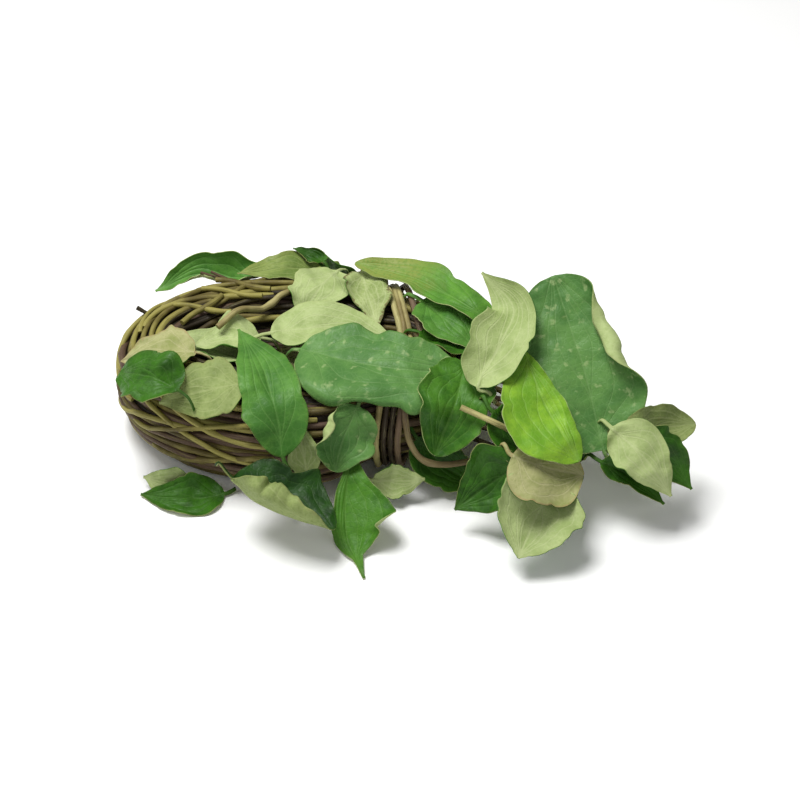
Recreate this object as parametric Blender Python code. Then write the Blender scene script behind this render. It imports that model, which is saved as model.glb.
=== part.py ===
"""Bunch of uziza, a climbing pepper: leafy vines wound into a long hank and tied round with their own stem.

X runs along the hank, towards its leafy end. -Y is the side that most leaves hang over. Z is up, and the hank
lies on z = 0. The sizes below are in millimetres, and MM turns them into metres.
"""
import math

import bpy
import numpy as np
from mathutils import Quaternion, Vector
from mathutils.bvhtree import BVHTree

MM = 0.001

# Where the middle of the bunch's own box goes, so that its origin is under its centre
CENTRING = (-0.546, -7.059)

# The wound stems: a ring that is long along X, with its inner turns filling the middle
HANK_MIDDLE = -52.0
HANK_HALF_LENGTH = 101.0
HANK_HALF_DEPTH = 65.0
HANK_HEIGHT = 60.0
INNER_HALF_LENGTH = 54.0
INNER_HALF_DEPTH = 17.0
SECTION_SQUARENESS = 0.85
VALLEY_DIP = 2.0
VALLEY_RIM = -0.5
FLAT_EDGE = 0.68
TURN_STEPS = 44

# The outer turns of stem, as ridges: where the first and the last lie round the section, in degrees
STRANDS = 16
STRAND_RELIEF = 1.5
INNERMOST_STRAND = 152.0
LOWEST_STRAND = -56.0
STRAND_WANDER = 2.0
WANDER_WAVES, WANDER_PHASE = 2.0, 1.7
STRAND_DRIFT = 0.7
DRIFT_WAVES, DRIFT_PHASE = 3.0, 2.3

# The waist that the tie pulls in, and the leafy end, which is slimmer
TIE_MIDDLE = -2.0
TIE_REACH = 40.0
WAIST_FLAT = 13.0
WAIST_PULL = 0.15
WAIST_DIP = 3.0
WAIST_LIFT = 7.4
LEAFY_END_PULL = 0.22
LEAFY_END_DROP = 8.0

# The tie: turns of stem side by side. Its slant is how far its top and bottom are to the right of its sides.
TIE_TURNS = 4
TIE_STEM = 3.8
TIE_STEPS = 40
TIE_HEART = 28.0
TIE_SLANT = 12.0
BAND_MARGIN = 1.15
BAND_LEAN = 0.08

# Laying: the gap between two pieces, how far a piece may sink from its drawn place, and how far it sags
GAP = 0.35
EASE = 0.3
SINK_LIMIT = 12.0
SAG_STEP = 0.4
SAG_STEPS = 30
CLEARING_STEP = 0.25
CLEARING_LIMIT = 80
STEEPEST = 0.6
CAST_FROM = 90.0
LEVEL_WAY = 0.3

# A leaf: a thin blade on a stalk, widest nearer its base, its points in rows across the rib
BLADE_THICKNESS = 0.7
STALK_WIDTH = 2.2
STALK_THICKNESS = 2.0
TIP_WIDTH = 1.6
PLAIN_HALF = (0.55, 1.0)
ROLLED_HALF = (0.45, 0.7, 0.85, 1.0)
STALK_ROWS = (0.0, 0.6)
BASE_SHARE = 0.25
END_CROWDING = 0.35
FULL_FOLD = 0.4
RIGHT_WAVE_PHASE = 2.2
ROLL_START = 0.45
ROLL_EASING = 2
SECTION_STEPS = 24

# Outlines of a blade: how far out it is widest (a small number is near the base), how blunt it is (a small
# number is blunt), and how much its tip is narrowed
EGG = (0.66, 0.78, 0.45)
BROAD = (0.85, 0.5, 0.2)
BLUNT = (0.9, 0.45, 0.0)
LATE = (1.3, 0.6, 0.0)
DROP = (1.8, 0.7, 0.0)
TIP_SHARPNESS = 5
TAIL_WIDTH = 0.16
NO_ROLL = (0, 0, 0.5, 0.5)

# A loose stem's tube
STEM_SIDES = 6
STEM_RINGS_A_STOP = 4

# Short steps of a curved route, and the share of it over which its direction is taken
ROUTE_STEPS = 12
ROUTE_REACH = 0.02

ROUGHNESS = 0.65
SHARP_EDGE = math.radians(50.0)

# Colours, from the leaves and stems themselves
LEAF_GREEN = (0.075, 0.245, 0.07)
LEAF_DARK = (0.03, 0.13, 0.035)
LEAF_BLUE_GREEN = (0.085, 0.26, 0.11)
LEAF_PALE = (0.43, 0.52, 0.27)
LEAF_LIME = (0.23, 0.45, 0.04)
LEAF_OLIVE = (0.25, 0.31, 0.10)
LEAF_TAN = (0.45, 0.45, 0.25)
STEM_OLIVE = (0.23, 0.20, 0.075)
STEM_BROWN = (0.20, 0.13, 0.09)
STEM_TAN = (0.36, 0.27, 0.13)

# The ways that pieces are laid from
UP = (0.0, 0.0, 1.0)
FRONT = (0.0, -0.77, 0.64)
REAR = (0.0, 0.7, 0.7)


def clear_scene():
    for obj in list(bpy.data.objects):
        bpy.data.objects.remove(obj, do_unlink=True)


def material(name, colour):
    surface = bpy.data.materials.new(name)
    surface.use_nodes = True
    shader = surface.node_tree.nodes["Principled BSDF"]
    shader.inputs["Base Color"].default_value = (*colour, 1.0)
    shader.inputs["Roughness"].default_value = ROUGHNESS
    shader.inputs["Metallic"].default_value = 0.0
    return surface


def solid(name, points, faces, colour):
    """Make one object of points in millimetres, smooth except at its sharp edges."""
    centred = [((x - CENTRING[0]) * MM, (y - CENTRING[1]) * MM, z * MM) for x, y, z in points]
    mesh = bpy.data.meshes.new(name)
    mesh.from_pydata(centred, [], faces)
    mesh.materials.append(material(name + "_finish", colour))
    mesh.shade_smooth()
    mesh.set_sharp_from_angle(angle=SHARP_EDGE)
    piece = bpy.data.objects.new(name, mesh)
    bpy.context.scene.collection.objects.link(piece)
    return piece


def grid_faces(rows, columns, closed_across, flip=False):
    """Triangles over rows of points; closed_across joins the last column to the first."""
    faces = []
    last = columns if closed_across else columns - 1
    for row in range(rows - 1):
        for column in range(last):
            beside = (column + 1) % columns
            a, b = row * columns + column, row * columns + beside
            c, d = a + columns, b + columns
            pair = [(a, b, d), (a, d, c)]
            faces += [tuple(reversed(face)) for face in pair] if flip else pair
    return faces


def waist(x):
    """How strongly the tie pulls at this X: 1 along its width, 0 past its reach."""
    away = (abs(x - TIE_MIDDLE) - WAIST_FLAT) / (TIE_REACH - WAIST_FLAT)
    return 0.5 + 0.5 * math.cos(math.pi * min(max(away, 0.0), 1.0))


def hank_point(turn, lie, out):
    """A point of the ring: turn goes round it in plan, and lie round its section, from level at the outside.

    out is how far the point is off the ring's surface.
    """
    sideways, upwards = math.cos(lie), math.sin(lie)
    across = 0.5 + 0.5 * math.copysign(abs(sideways) ** SECTION_SQUARENESS, sideways)
    height = 0.5 + 0.5 * math.copysign(abs(upwards) ** SECTION_SQUARENESS, upwards)
    return oval_point(turn, across, out * sideways, HANK_HEIGHT * height + out * upwards)


def oval_point(turn, across, out, z):
    """A point of the hank's plan: across is 0 on the inner oval, 1 on the outer one, -1 at the very middle.

    The oval is pulled in at the waist, and is slimmer and lower towards the leafy end.
    """
    inner_share = min(1.0, 1.0 + across)
    outer_share = max(0.0, across)
    half_length = INNER_HALF_LENGTH * inner_share + out
    half_length += (HANK_HALF_LENGTH - INNER_HALF_LENGTH) * outer_share
    half_depth = INNER_HALF_DEPTH * inner_share + out
    half_depth += (HANK_HALF_DEPTH - INNER_HALF_DEPTH) * outer_share
    x = HANK_MIDDLE + half_length * math.cos(turn)
    leafy = max(0.0, (x - TIE_MIDDLE) / (HANK_MIDDLE + HANK_HALF_LENGTH - TIE_MIDDLE))
    pull = WAIST_PULL * waist(x) + LEAFY_END_PULL * leafy * (1.0 - waist(x))
    height = HANK_HEIGHT - WAIST_DIP * waist(x) - LEAFY_END_DROP * leafy
    floor = WAIST_LIFT * waist(x)
    return (x, half_depth * math.sin(turn) * (1.0 - pull), floor + (height - floor) * z / HANK_HEIGHT)


def make_hank():
    """One body: the filled ring, with a ridge raised along it for each outer turn of stem."""
    lies = np.linspace(math.radians(INNERMOST_STRAND), math.radians(LOWEST_STRAND), 2 * STRANDS + 1)
    valley = hank_point(math.pi / 2.0, lies[0], 0.0)[2] - VALLEY_DIP
    rows = [[oval_point(turn, VALLEY_RIM, 0.0, valley) for turn in turns()]]
    for number, lie in enumerate(lies):
        rows.append([strand_point(turn, lie, number) for turn in turns()])
    for across in (FLAT_EDGE, 0.0):
        rows.append([oval_point(turn, across, 0.0, 0.0) for turn in turns()])
    points = [point for row in rows for point in row]
    faces = grid_faces(len(rows), TURN_STEPS, closed_across=True, flip=True)
    top, bottom = len(points), len(points) + 1
    points += [oval_point(0.0, -1.0, 0.0, valley), oval_point(0.0, -1.0, 0.0, 0.0)]
    last_row = (len(rows) - 1) * TURN_STEPS
    for step in range(TURN_STEPS):
        beside = (step + 1) % TURN_STEPS
        faces.append((top, step, beside))
        faces.append((bottom, last_row + beside, last_row + step))
    return solid("wound_vines", points, faces, STEM_OLIVE)


def strand_point(turn, lie, number):
    """A point on a crest (odd numbers) or in a groove (even ones). The turns of stem wander a little."""
    strand = number // 2
    wander = math.radians(STRAND_WANDER) * math.sin(WANDER_WAVES * turn + WANDER_PHASE * strand)
    drift = STRAND_DRIFT * math.sin(DRIFT_WAVES * turn + DRIFT_PHASE * strand)
    crest = STRAND_RELIEF if number % 2 else -STRAND_RELIEF
    return hank_point(turn, lie + wander, crest + drift)


def turns():
    return [2.0 * math.pi * step / TURN_STEPS for step in range(TURN_STEPS)]


def make_tie(hank):
    """A band of stems round the waist: its inner face keeps a gap to the hank, its outer one has ridges."""
    surface = tree_of(hank)
    half_width = TIE_TURNS * TIE_STEM / 2.0
    points = []
    for step in range(TIE_STEPS):
        angle = 2.0 * math.pi * step / TIE_STEPS
        middle = TIE_MIDDLE - TIE_SLANT / 2.0 + TIE_SLANT * math.sin(angle) ** 2
        out = Vector((0.0, math.cos(angle), math.sin(angle)))
        inner = band_radius(surface, middle, out, half_width)
        for across, rise in tie_section():
            point = Vector((middle + across * half_width, 0.0, TIE_HEART)) + out * (inner + rise * TIE_STEM)
            points.append(tuple(point))
    columns = len(tie_section())
    faces = grid_faces(TIE_STEPS, columns, closed_across=True)
    last = (TIE_STEPS - 1) * columns
    for column in range(columns):
        beside = (column + 1) % columns
        faces += [(last + column, last + beside, beside), (last + column, beside, column)]
    return solid("tie_vine", points, faces, STEM_TAN)


def tie_section():
    """The band's section, as shares of its half width and of a stem: flat inside, a crest a turn outside."""
    section = [(-0.96, 0.0), (0.0, 0.0), (0.96, 0.0)]
    for turn in reversed(range(TIE_TURNS)):
        right = -1.0 + 2.0 * (turn + 1) / TIE_TURNS
        section.append((right, 0.5 if turn == TIE_TURNS - 1 else 0.62))
        section.append((right - 1.0 / TIE_TURNS, 0.95))
    section.append((-1.0, 0.5))
    return section


def band_radius(surface, middle, out, half_width):
    """How far the hank reaches from the tie's heart in one direction, over the band's width, with the gap."""
    reach = 0.0
    for across in np.linspace(-BAND_MARGIN, BAND_MARGIN, 9):
        for lean in np.linspace(-BAND_LEAN, BAND_LEAN, 5):
            turned = out.copy()
            turned.rotate(Quaternion((1.0, 0.0, 0.0), lean))
            heart = Vector((middle + across * half_width, 0.0, TIE_HEART))
            hit = surface.ray_cast(heart + turned * CAST_FROM, -turned)[3]
            reach = max(reach, CAST_FROM - hit)
    return reach + GAP + EASE


def tree_of(piece):
    """The piece's own triangles as a search tree, in millimetres, before the bunch is centred."""
    corners = [vertex.co / MM + Vector((*CENTRING, 0.0)) for vertex in piece.data.vertices]
    return BVHTree.FromPolygons(corners, [tuple(face.vertices) for face in piece.data.polygons])


def smooth_route(stops):
    """A Catmull-Rom curve through the stops, as many short steps."""
    stops = [np.array(stop, dtype=float) for stop in stops]
    ends = [2.0 * stops[0] - stops[1]] + stops + [2.0 * stops[-1] - stops[-2]]
    route = []
    for span in range(len(stops) - 1):
        a, b, c, d = ends[span:span + 4]
        for step in range(ROUTE_STEPS):
            t = step / ROUTE_STEPS
            route.append(0.5 * (2.0 * b + (c - a) * t + (2.0 * a - 5.0 * b + 4.0 * c - d) * t ** 2
                                + (3.0 * b - a - 3.0 * c + d) * t ** 3))
    route.append(stops[-1])
    return np.array(route)


def along(route, distance):
    """The point and the direction at a distance along a route."""
    steps = np.linalg.norm(np.diff(route, axis=0), axis=1)
    travelled = np.concatenate([[0.0], np.cumsum(steps)])
    point = np.array([np.interp(distance, travelled, route[:, axis]) for axis in range(3)])
    reach = ROUTE_REACH * travelled[-1]
    ahead = np.array([np.interp(distance + reach, travelled, route[:, axis]) for axis in range(3)])
    behind = np.array([np.interp(distance - reach, travelled, route[:, axis]) for axis in range(3)])
    return point, unit(ahead - behind)


def unit(vector):
    return vector / np.linalg.norm(vector)


def length_of(route):
    return float(np.linalg.norm(np.diff(route, axis=0), axis=1).sum())


def blade_outline(leaf, progress):
    """Half width of a blade as a share of its widest. A tail is its last share, drawn out narrow."""
    shape, fullness, narrowing = leaf["outline"]
    share = min(1.0, progress / (1.0 - leaf["tail"]))
    egg = max(0.0, math.sin(math.pi * share ** shape)) ** fullness
    egg *= 1.0 - narrowing * share ** TIP_SHARPNESS
    if progress > 0.5 and leaf["tail"]:
        return max(egg, TAIL_WIDTH * min(1.0, (1.0 - progress) / leaf["tail"]))
    return egg


def blade_sides(leaf):
    """Where the columns of points lie across the blade: -1 and 1 are its margins, and 1 is on the right."""
    right, left = (ROLLED_HALF if angle else PLAIN_HALF for angle in leaf["roll"][:2])
    return [-place for place in reversed(left)] + [0.0] + list(right)


def leaf_points(leaf, extra=0.0):
    """The two skins of a leaf as a grid of points: rows from the stalk's root to the tip, columns across."""
    route = smooth_route(leaf["rib"])
    stalk = length_of(smooth_route(leaf["rib"][:2]))
    blade = length_of(route) - stalk
    sides = blade_sides(leaf)
    even = np.linspace(0.0, 1.0, leaf["rows"])
    crowded = 0.5 - 0.5 * np.cos(math.pi * even)
    shares = even + END_CROWDING * (crowded - even)
    stations = [(stalk * row, -1.0) for row in STALK_ROWS]
    stations += [(stalk + blade * share, share) for share in shares]
    face_base, face_tip = (np.array(way, dtype=float) for way in leaf["face"])
    middle, thickness = [], []
    for distance, share in stations:
        point, forward = along(route, distance)
        progress = max(share, 0.0)
        up = face_base * (1.0 - progress) + face_tip * progress
        up = unit(up - forward * up.dot(forward))
        side = np.cross(forward, up)
        middle.append([point + blade_offset(leaf, place, progress, side, up) for place in sides])
        swell = (STALK_THICKNESS - BLADE_THICKNESS) * max(0.0, 1.0 - progress / BASE_SHARE)
        thickness.append([BLADE_THICKNESS + swell * (1.0 - place ** 2) for place in sides])
    middle = np.array(middle)
    lengthwise = np.gradient(middle, axis=0)
    crosswise = np.gradient(middle, axis=1)
    normals = np.cross(crosswise, lengthwise)
    normals /= np.linalg.norm(normals, axis=2, keepdims=True)
    half = (np.array(thickness) / 2.0 + extra)[:, :, None]
    return middle + normals * half, middle - normals * half


def blade_offset(leaf, place, progress, side, up):
    """How far a point of a cross section is from the rib: folded at the rib, curled, rolled, then waved.

    spread is 0 on the stalk and at the tip, where nothing folds, and 1 where the blade is broad.
    """
    right = place > 0.0
    base, tip = leaf["curl"][:2] if right else leaf["curl"][2:]
    widest = leaf["width"] / 2.0 * leaf["halves"][0 if right else 1]
    narrow = (STALK_WIDTH if progress < 0.5 else TIP_WIDTH) / 2.0
    width = max(narrow, widest * blade_outline(leaf, progress))
    spread = min(1.0, (width - narrow) / (FULL_FOLD * widest))
    fold = math.radians(leaf["fold"]) * spread
    curl = math.radians(base + (tip - base) * progress) * spread * width / widest
    roll = math.radians(leaf["roll"][0 if right else 1]) * rolled_share(leaf, progress)
    roll *= spread * (width / widest) ** ROLL_EASING
    sideways, rise = section_point(fold, curl, roll, abs(place))
    phase = leaf["phase"] + (RIGHT_WAVE_PHASE if right else 0.0)
    wave = leaf["wave"] * place ** 2 * math.sin(2.0 * math.pi * leaf["waves"] * progress + phase)
    return side * math.copysign(width * sideways, place) + up * (width * rise + wave * width / widest)


def rolled_share(leaf, progress):
    """How strongly the margin is rolled here: 1 at the middle of the roll, 0 past its reach."""
    middle, reach = leaf["roll"][2:]
    away = min(1.0, abs(progress - middle) / reach)
    return 0.5 + 0.5 * math.cos(math.pi * away)


def section_point(fold, curl, roll, reach):
    """A point of a section of one half, with its width as the unit: how far sideways, and how far up."""
    steps = (np.arange(SECTION_STEPS) + 0.5) / SECTION_STEPS * reach
    rolled = np.clip((steps - ROLL_START) / (1.0 - ROLL_START), 0.0, 1.0)
    turned = fold + curl * steps + roll * rolled ** 2 * (3.0 - 2.0 * rolled)
    return np.cos(turned).mean() * reach, np.sin(turned).mean() * reach


def leaf_faces(rows, columns):
    """Triangles over both skins, alike on the two, and round the edge."""
    upper = grid_faces(rows, columns, closed_across=False)
    below = rows * columns
    lower = [tuple(reversed([corner + below for corner in face])) for face in upper]
    rim = list(range(columns))
    rim += [row * columns + columns - 1 for row in range(1, rows)]
    rim += [(rows - 1) * columns + column for column in reversed(range(columns - 1))]
    rim += [row * columns for row in reversed(range(1, rows - 1))]
    wall = []
    for corner, beside in zip(rim, rim[1:] + rim[:1]):
        wall += [(corner, below + beside, beside), (corner, below + corner, below + beside)]
    return upper + lower + wall


def settle(name, skins, fat_skins, middle, thickness, faces, way, colour, laid):
    """Let a piece down on the pieces already laid, against its way, sag it over them a little, and make it.

    Its points move along the way only, and its skins move alike. fat_skins are its skins grown by the gap.
    """
    way = unit(np.array(way, dtype=float))
    rest = resting_rise(middle, way, thickness / 2.0 + GAP + EASE, laid)
    rise = np.full(rest.shape, rest.max())
    for step in range(SAG_STEPS):
        around = np.pad(rise, 1, mode="edge")
        mean = (around[:-2, 1:-1] + around[2:, 1:-1] + around[1:-1, :-2] + around[1:-1, 2:]) / 4.0
        rise = np.maximum(mean - SAG_STEP, rest)
    ease_slopes(rise, middle)
    for step in range(CLEARING_LIMIT):
        moved = (rise + step * CLEARING_STEP)[:, :, None] * way
        fat = np.concatenate([(skin + moved).reshape(-1, 3) for skin in fat_skins])
        tree = BVHTree.FromPolygons([Vector(point) for point in fat], faces)
        if fat[:, 2].min() > 0.0 and not any(tree.overlap(other) for other in laid):
            laid.append(tree)
            points = np.concatenate([(skin + moved).reshape(-1, 3) for skin in skins])
            return solid(name, [tuple(point) for point in points], faces, colour)
    raise ValueError(name + " finds no clear place")


def ease_slopes(rise, middle):
    """Raise the points beside a high one, so that no step between neighbours is too steep."""
    lengthwise = STEEPEST * np.linalg.norm(np.diff(middle, axis=0), axis=2)
    crosswise = STEEPEST * np.linalg.norm(np.diff(middle, axis=1), axis=2)
    for step in range(len(rise)):
        rise[:-1] = np.maximum(rise[:-1], rise[1:] - lengthwise)
        rise[1:] = np.maximum(rise[1:], rise[:-1] - lengthwise)
        rise[:, :-1] = np.maximum(rise[:, :-1], rise[:, 1:] - crosswise)
        rise[:, 1:] = np.maximum(rise[:, 1:], rise[:, :-1] - crosswise)


def resting_rise(middle, way, clear, laid):
    """For each point of a grid, how far it goes along the way to be clear of what is under and round it."""
    rows, columns = middle.shape[:2]
    back = Vector(way) * CAST_FROM
    found = np.full((2 * rows - 1, 2 * columns - 1), -SINK_LIMIT)
    for row in range(2 * rows - 1):
        for column in range(2 * columns - 1):
            point = Vector((middle[row // 2, column // 2] + middle[(row + 1) // 2, (column + 1) // 2]) / 2.0)
            hits = [tree.ray_cast(point + back, -back)[3] for tree in laid]
            reaches = [CAST_FROM - hit + clear for hit in hits if hit is not None]
            if way[2] > LEVEL_WAY:
                reaches.append((clear - point.z) / way[2])
            found[row, column] = max([-SINK_LIMIT] + reaches)
    rest = np.full((rows, columns), -SINK_LIMIT)
    for row in range(rows):
        for column in range(columns):
            around = found[max(0, 2 * row - 1):2 * row + 2, max(0, 2 * column - 1):2 * column + 2]
            rest[row, column] = around.max()
    return rest


def lay_leaf(name, rib, face, width, colour, laid, fold=14.0, curl=(20, 20, 20, 20), wave=1.8, waves=2.0,
             phase=0.0, rows=9, lift=FRONT, outline=EGG, halves=(1.0, 1.0), tail=0.0, roll=NO_ROLL):
    """Make a leaf and lay it.

    rib: the stalk's root, the blade's base, then on to the tip. face: the way that the side on view looks,
    at the base and at the tip. curl: degrees that each half bends towards that side, the right half's at base
    and tip, then the left half's. halves: each half's width, as a share of half the width. roll: degrees that
    the right and the left margin roll up, and the middle and the reach of the roll along the blade.
    """
    leaf = {"rib": rib, "face": face, "width": width, "fold": fold, "curl": curl, "wave": wave,
            "waves": waves, "phase": phase, "rows": rows, "outline": outline, "halves": halves, "tail": tail,
            "roll": roll}
    skins = leaf_points(leaf)
    middle = (skins[0] + skins[1]) / 2.0
    faces = leaf_faces(rows + len(STALK_ROWS), middle.shape[1])
    return settle(name, skins, leaf_points(leaf, GAP), middle, BLADE_THICKNESS, faces, lift, colour, laid)


def lay_stem(name, stops, width, colour, laid, lift=UP):
    """Make a loose stem, a tube through its stops with plain cut ends, and lay it."""
    skin = stem_points(stops, width / 2.0)
    rings = skin.shape[0]
    faces = grid_faces(rings, STEM_SIDES, closed_across=True, flip=True)
    last = (rings - 1) * STEM_SIDES
    for side in range(1, STEM_SIDES - 1):
        faces += [(0, side, side + 1), (last, last + side + 1, last + side)]
    fat_skin = stem_points(stops, width / 2.0 + GAP)
    middle = skin.mean(axis=1, keepdims=True)
    return settle(name, [skin], [fat_skin], middle, width, faces, lift, colour, laid)


def stem_points(stops, radius):
    """The tube's skin: a ring of points every few millimetres along the route."""
    route = smooth_route(stops)
    rings = []
    for distance in np.linspace(0.0, length_of(route), STEM_RINGS_A_STOP * (len(stops) - 1) + 1):
        middle, forward = along(route, distance)
        side = unit(np.cross(forward, UP))
        rise = np.cross(side, forward)
        angles = [2.0 * math.pi * corner / STEM_SIDES for corner in range(STEM_SIDES)]
        rings.append([middle + radius * (side * math.cos(angle) + rise * math.sin(angle))
                      for angle in angles])
    return np.array(rings)


def lay_inner_leaves(laid):
    lay_leaf("leaf_valley_left", [(-70, -16, 50), (-76, -14, 50), (-96, -8, 50), (-122, -4, 52)],
             (UP, UP), 40, LEAF_PALE, laid, curl=(30, 20, 20, 30), phase=0.8, lift=UP)
    lay_leaf("leaf_valley_middle", [(-20, 8, 50), (-28, 6, 52), (-50, -2, 50), (-74, -6, 50)],
             (UP, UP), 38, LEAF_TAN, laid, curl=(20, 30, 30, 20), phase=2.8, lift=UP)
    lay_leaf("leaf_valley_right", [(4, 4, 56), (10, 2, 56), (26, -4, 54), (42, -8, 50)],
             (UP, (0.3, 0, 1)), 30, LEAF_DARK, laid, curl=(20, 30, 30, 20), phase=1.4, lift=UP)


def lay_left_leaves(laid):
    lay_leaf("leaf_left_far_pale", [(-70, 2, 54), (-76, 1, 56), (-92, -3, 58), (-110, -6, 56)],
             (UP, UP), 32, LEAF_PALE, laid, phase=0.4)
    lay_leaf("leaf_left_tan", [(-102, -12, 54), (-108, -12, 56), (-128, -12, 56), (-149, -9, 48)],
             (UP, (-0.4, 0, 1)), 40, LEAF_TAN, laid, curl=(-20, -20, 20, 0), phase=1.9)
    lay_leaf("leaf_left_near_pale", [(-76, -38, 57), (-82, -41, 58), (-102, -44, 57), (-126, -46, 50)],
             ((0, -0.2, 1), (0, -0.5, 0.9)), 36, LEAF_PALE, laid, curl=(-20, -20, -30, -30), phase=2.6)
    lay_leaf("leaf_left_dark", [(-110, -42, 51), (-115, -40, 54), (-130, -29, 54), (-148, -16, 46)],
             ((0, -0.1, 1), (-0.4, -0.2, 0.9)), 34, LEAF_DARK, laid, curl=(-20, -10, -30, -30), phase=0.9,
             outline=BROAD)
    lay_leaf("leaf_left_floor_pale", [(-108, -64, 14), (-113, -66, 14), (-124, -68, 14), (-137, -64, 14)],
             ((0, -0.9, 0.4), (0, -0.9, 0.4)), 20, LEAF_PALE, laid, rows=7)
    lay_leaf("leaf_left_floor", [(-88, -64, 6), (-94, -66, 4), (-112, -68, 3), (-138, -65, 3)],
             ((0, -0.4, 0.9), (0, -0.4, 0.9)), 26, LEAF_DARK, laid, phase=1.1)


def lay_back_leaves(laid):
    lay_stem("stem_back_top", [(-98, -1, 58), (-88, 9, 60), (-76, 21, 61), (-60, 36, 60)],
             3.8, STEM_TAN, laid)
    lay_leaf("leaf_back_left_curled",
             [(-70, 55, 50), (-78, 58, 51), (-94, 63, 52), (-116, 67, 53), (-139, 60, 47)],
             ((0, -0.3, 0.95), (0, -0.3, 0.95)), 32, LEAF_GREEN, laid, fold=25, curl=(50, 80, 30, 60),
             phase=1.0, lift=UP)
    lay_leaf("leaf_back_olive", [(-38, 64, 54), (-46, 62, 56), (-67, 58, 58), (-91, 51, 54)],
             ((0, -0.4, 0.9), (0, -0.5, 0.85)), 26, LEAF_OLIVE, laid, curl=(-20, -30, 10, 10), phase=0.5,
             lift=UP)
    lay_leaf("leaf_back_hook", [(-41, 62, 52), (-44, 65, 57), (-51, 70, 62), (-61, 71, 64)],
             ((0, -0.6, 0.8), (0, -0.4, 0.9)), 15, LEAF_DARK, laid, curl=(40, 40, 30, 40), wave=0.8,
             rows=7, lift=UP)
    lay_leaf("leaf_back_pale", [(-32, 66, 54), (-36, 60, 57), (-46, 40, 58), (-56, 17, 56)],
             (UP, (0, -0.3, 1)), 34, LEAF_PALE, laid, curl=(-20, -20, -20, -30), phase=2.0)
    lay_leaf("leaf_back_spotted", [(-20, 66, 56), (-22, 58, 58), (-18, 34, 58), (-13, 10, 56)],
             (UP, (0, -0.3, 1)), 27, LEAF_PALE, laid, curl=(20, 40, -20, -20), phase=0.7)
    lay_leaf("leaf_back_under", [(4, 44, 52), (11, 38, 52), (26, 20, 50), (43, 0, 46)],
             ((0, -0.3, 0.95), (0.2, -0.4, 0.9)), 34, LEAF_GREEN, laid, phase=1.7)
    lay_leaf("leaf_back_long", [(52, 12, 46), (47, 18, 53), (25, 36, 58), (3, 51, 60), (-26, 63, 60)],
             ((0.25, -0.5, 0.8), (0, -0.25, 1)), 26, LEAF_OLIVE, laid, curl=(-20, -20, 40, 20), rows=11,
             outline=BROAD)


def lay_front_leaves(laid):
    lay_leaf("leaf_front_behind", [(4, -40, 30), (8, -46, 26), (22, -56, 15), (44, -64, 6)],
             ((0, -0.7, 0.7), (0, -0.6, 0.8)), 30, LEAF_DARK, laid, phase=1.6)
    lay_stem("stem_front",
             [(1, -50, 56), (2, -60, 46), (4, -67, 34), (11, -71, 24), (24, -70, 20), (43, -66, 21),
              (62, -61, 24)],
             3.6, STEM_BROWN, laid, lift=(0, -1, 0))
    lay_leaf("leaf_front_under_tie", [(-21, -64, 14), (-15, -66, 14), (-4, -64, 12), (12, -60, 10)],
             ((0, -0.8, 0.5), (0, -0.8, 0.5)), 20, LEAF_PALE, laid, rows=7)
    lay_leaf("leaf_front_small_pale", [(-48, -72, 16), (-49, -70, 22), (-51, -63, 34), (-53, -56, 47)],
             ((0, -0.9, 0.4), (0, -0.9, 0.4)), 19, LEAF_PALE, laid, rows=7)
    lay_leaf("leaf_front_hanging",
             [(-22, -66, 47), (-25, -70, 40), (-29, -89, 26), (-28, -109, 12), (-19, -127, 3)],
             ((0.1, -0.5, 0.8), (0.1, -0.6, 0.8)), 36, LEAF_GREEN, laid, curl=(-40, -60, 20, 20), rows=13,
             outline=DROP, halves=(0.4, 1.6), tail=0.15, roll=(0, 110, 0.72, 0.24))
    lay_leaf("leaf_front_blue", [(-20, -42, 54), (-23, -50, 51), (-30, -60, 38), (-35, -70, 24)],
             ((0, -0.9, 0.4), (0, -0.9, 0.4)), 34, LEAF_BLUE_GREEN, laid, curl=(10, 10, -20, -20),
             outline=BROAD, roll=(150, 0, 0.4, 0.45))


def lay_middle_leaves(laid):
    lay_leaf("leaf_middle_pale", [(-78, 4, 54), (-70, 5, 56), (-38, 8, 58), (-3, -3, 58)],
             (UP, (0, -0.2, 1)), 38, LEAF_PALE, laid, curl=(-10, -10, -20, -20), phase=2.2, rows=11)
    lay_leaf("leaf_middle_broad", [(-60, -9, 54), (-53, -12, 58), (-12, -29, 61), (34, -31, 57)],
             ((0, -0.15, 1), (0, -0.3, 1)), 54, LEAF_BLUE_GREEN, laid, curl=(-20, -20, -15, -15), rows=12,
             outline=BROAD, halves=(1.2, 0.85), roll=(-130, 0, 0.5, 0.7))
    lay_leaf("leaf_middle_draped",
             [(-57, -74, 26), (-61, -69, 34), (-64, -56, 52), (-73, -24, 58), (-87, 8, 56)],
             ((0, -0.95, 0.3), (0.1, -0.1, 1)), 33, LEAF_GREEN, laid, curl=(-30, -30, -20, -20), rows=12)
    lay_leaf("leaf_waist_wrinkled", [(36, -14, 55), (33, -22, 57), (27, -48, 50), (17, -68, 33)],
             ((0, -0.3, 1), (0, -0.95, 0.3)), 42, LEAF_GREEN, laid, wave=2.5, waves=3.0, rows=11,
             outline=BROAD)


def lay_trough_leaf(laid):
    lay_leaf("leaf_front_trough",
             [(-92, -66, 27), (-86, -69, 20), (-71, -76, 9), (-55, -83, 6), (-34, -91, 5)],
             ((0, 0.5, 1), (0.1, 0.4, 1)), 56, LEAF_DARK, laid, fold=30, curl=(20, 20, 10, 10), rows=12,
             outline=BROAD, halves=(1.0, 1.1), roll=(140, 0, 0.45, 0.8))


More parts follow.
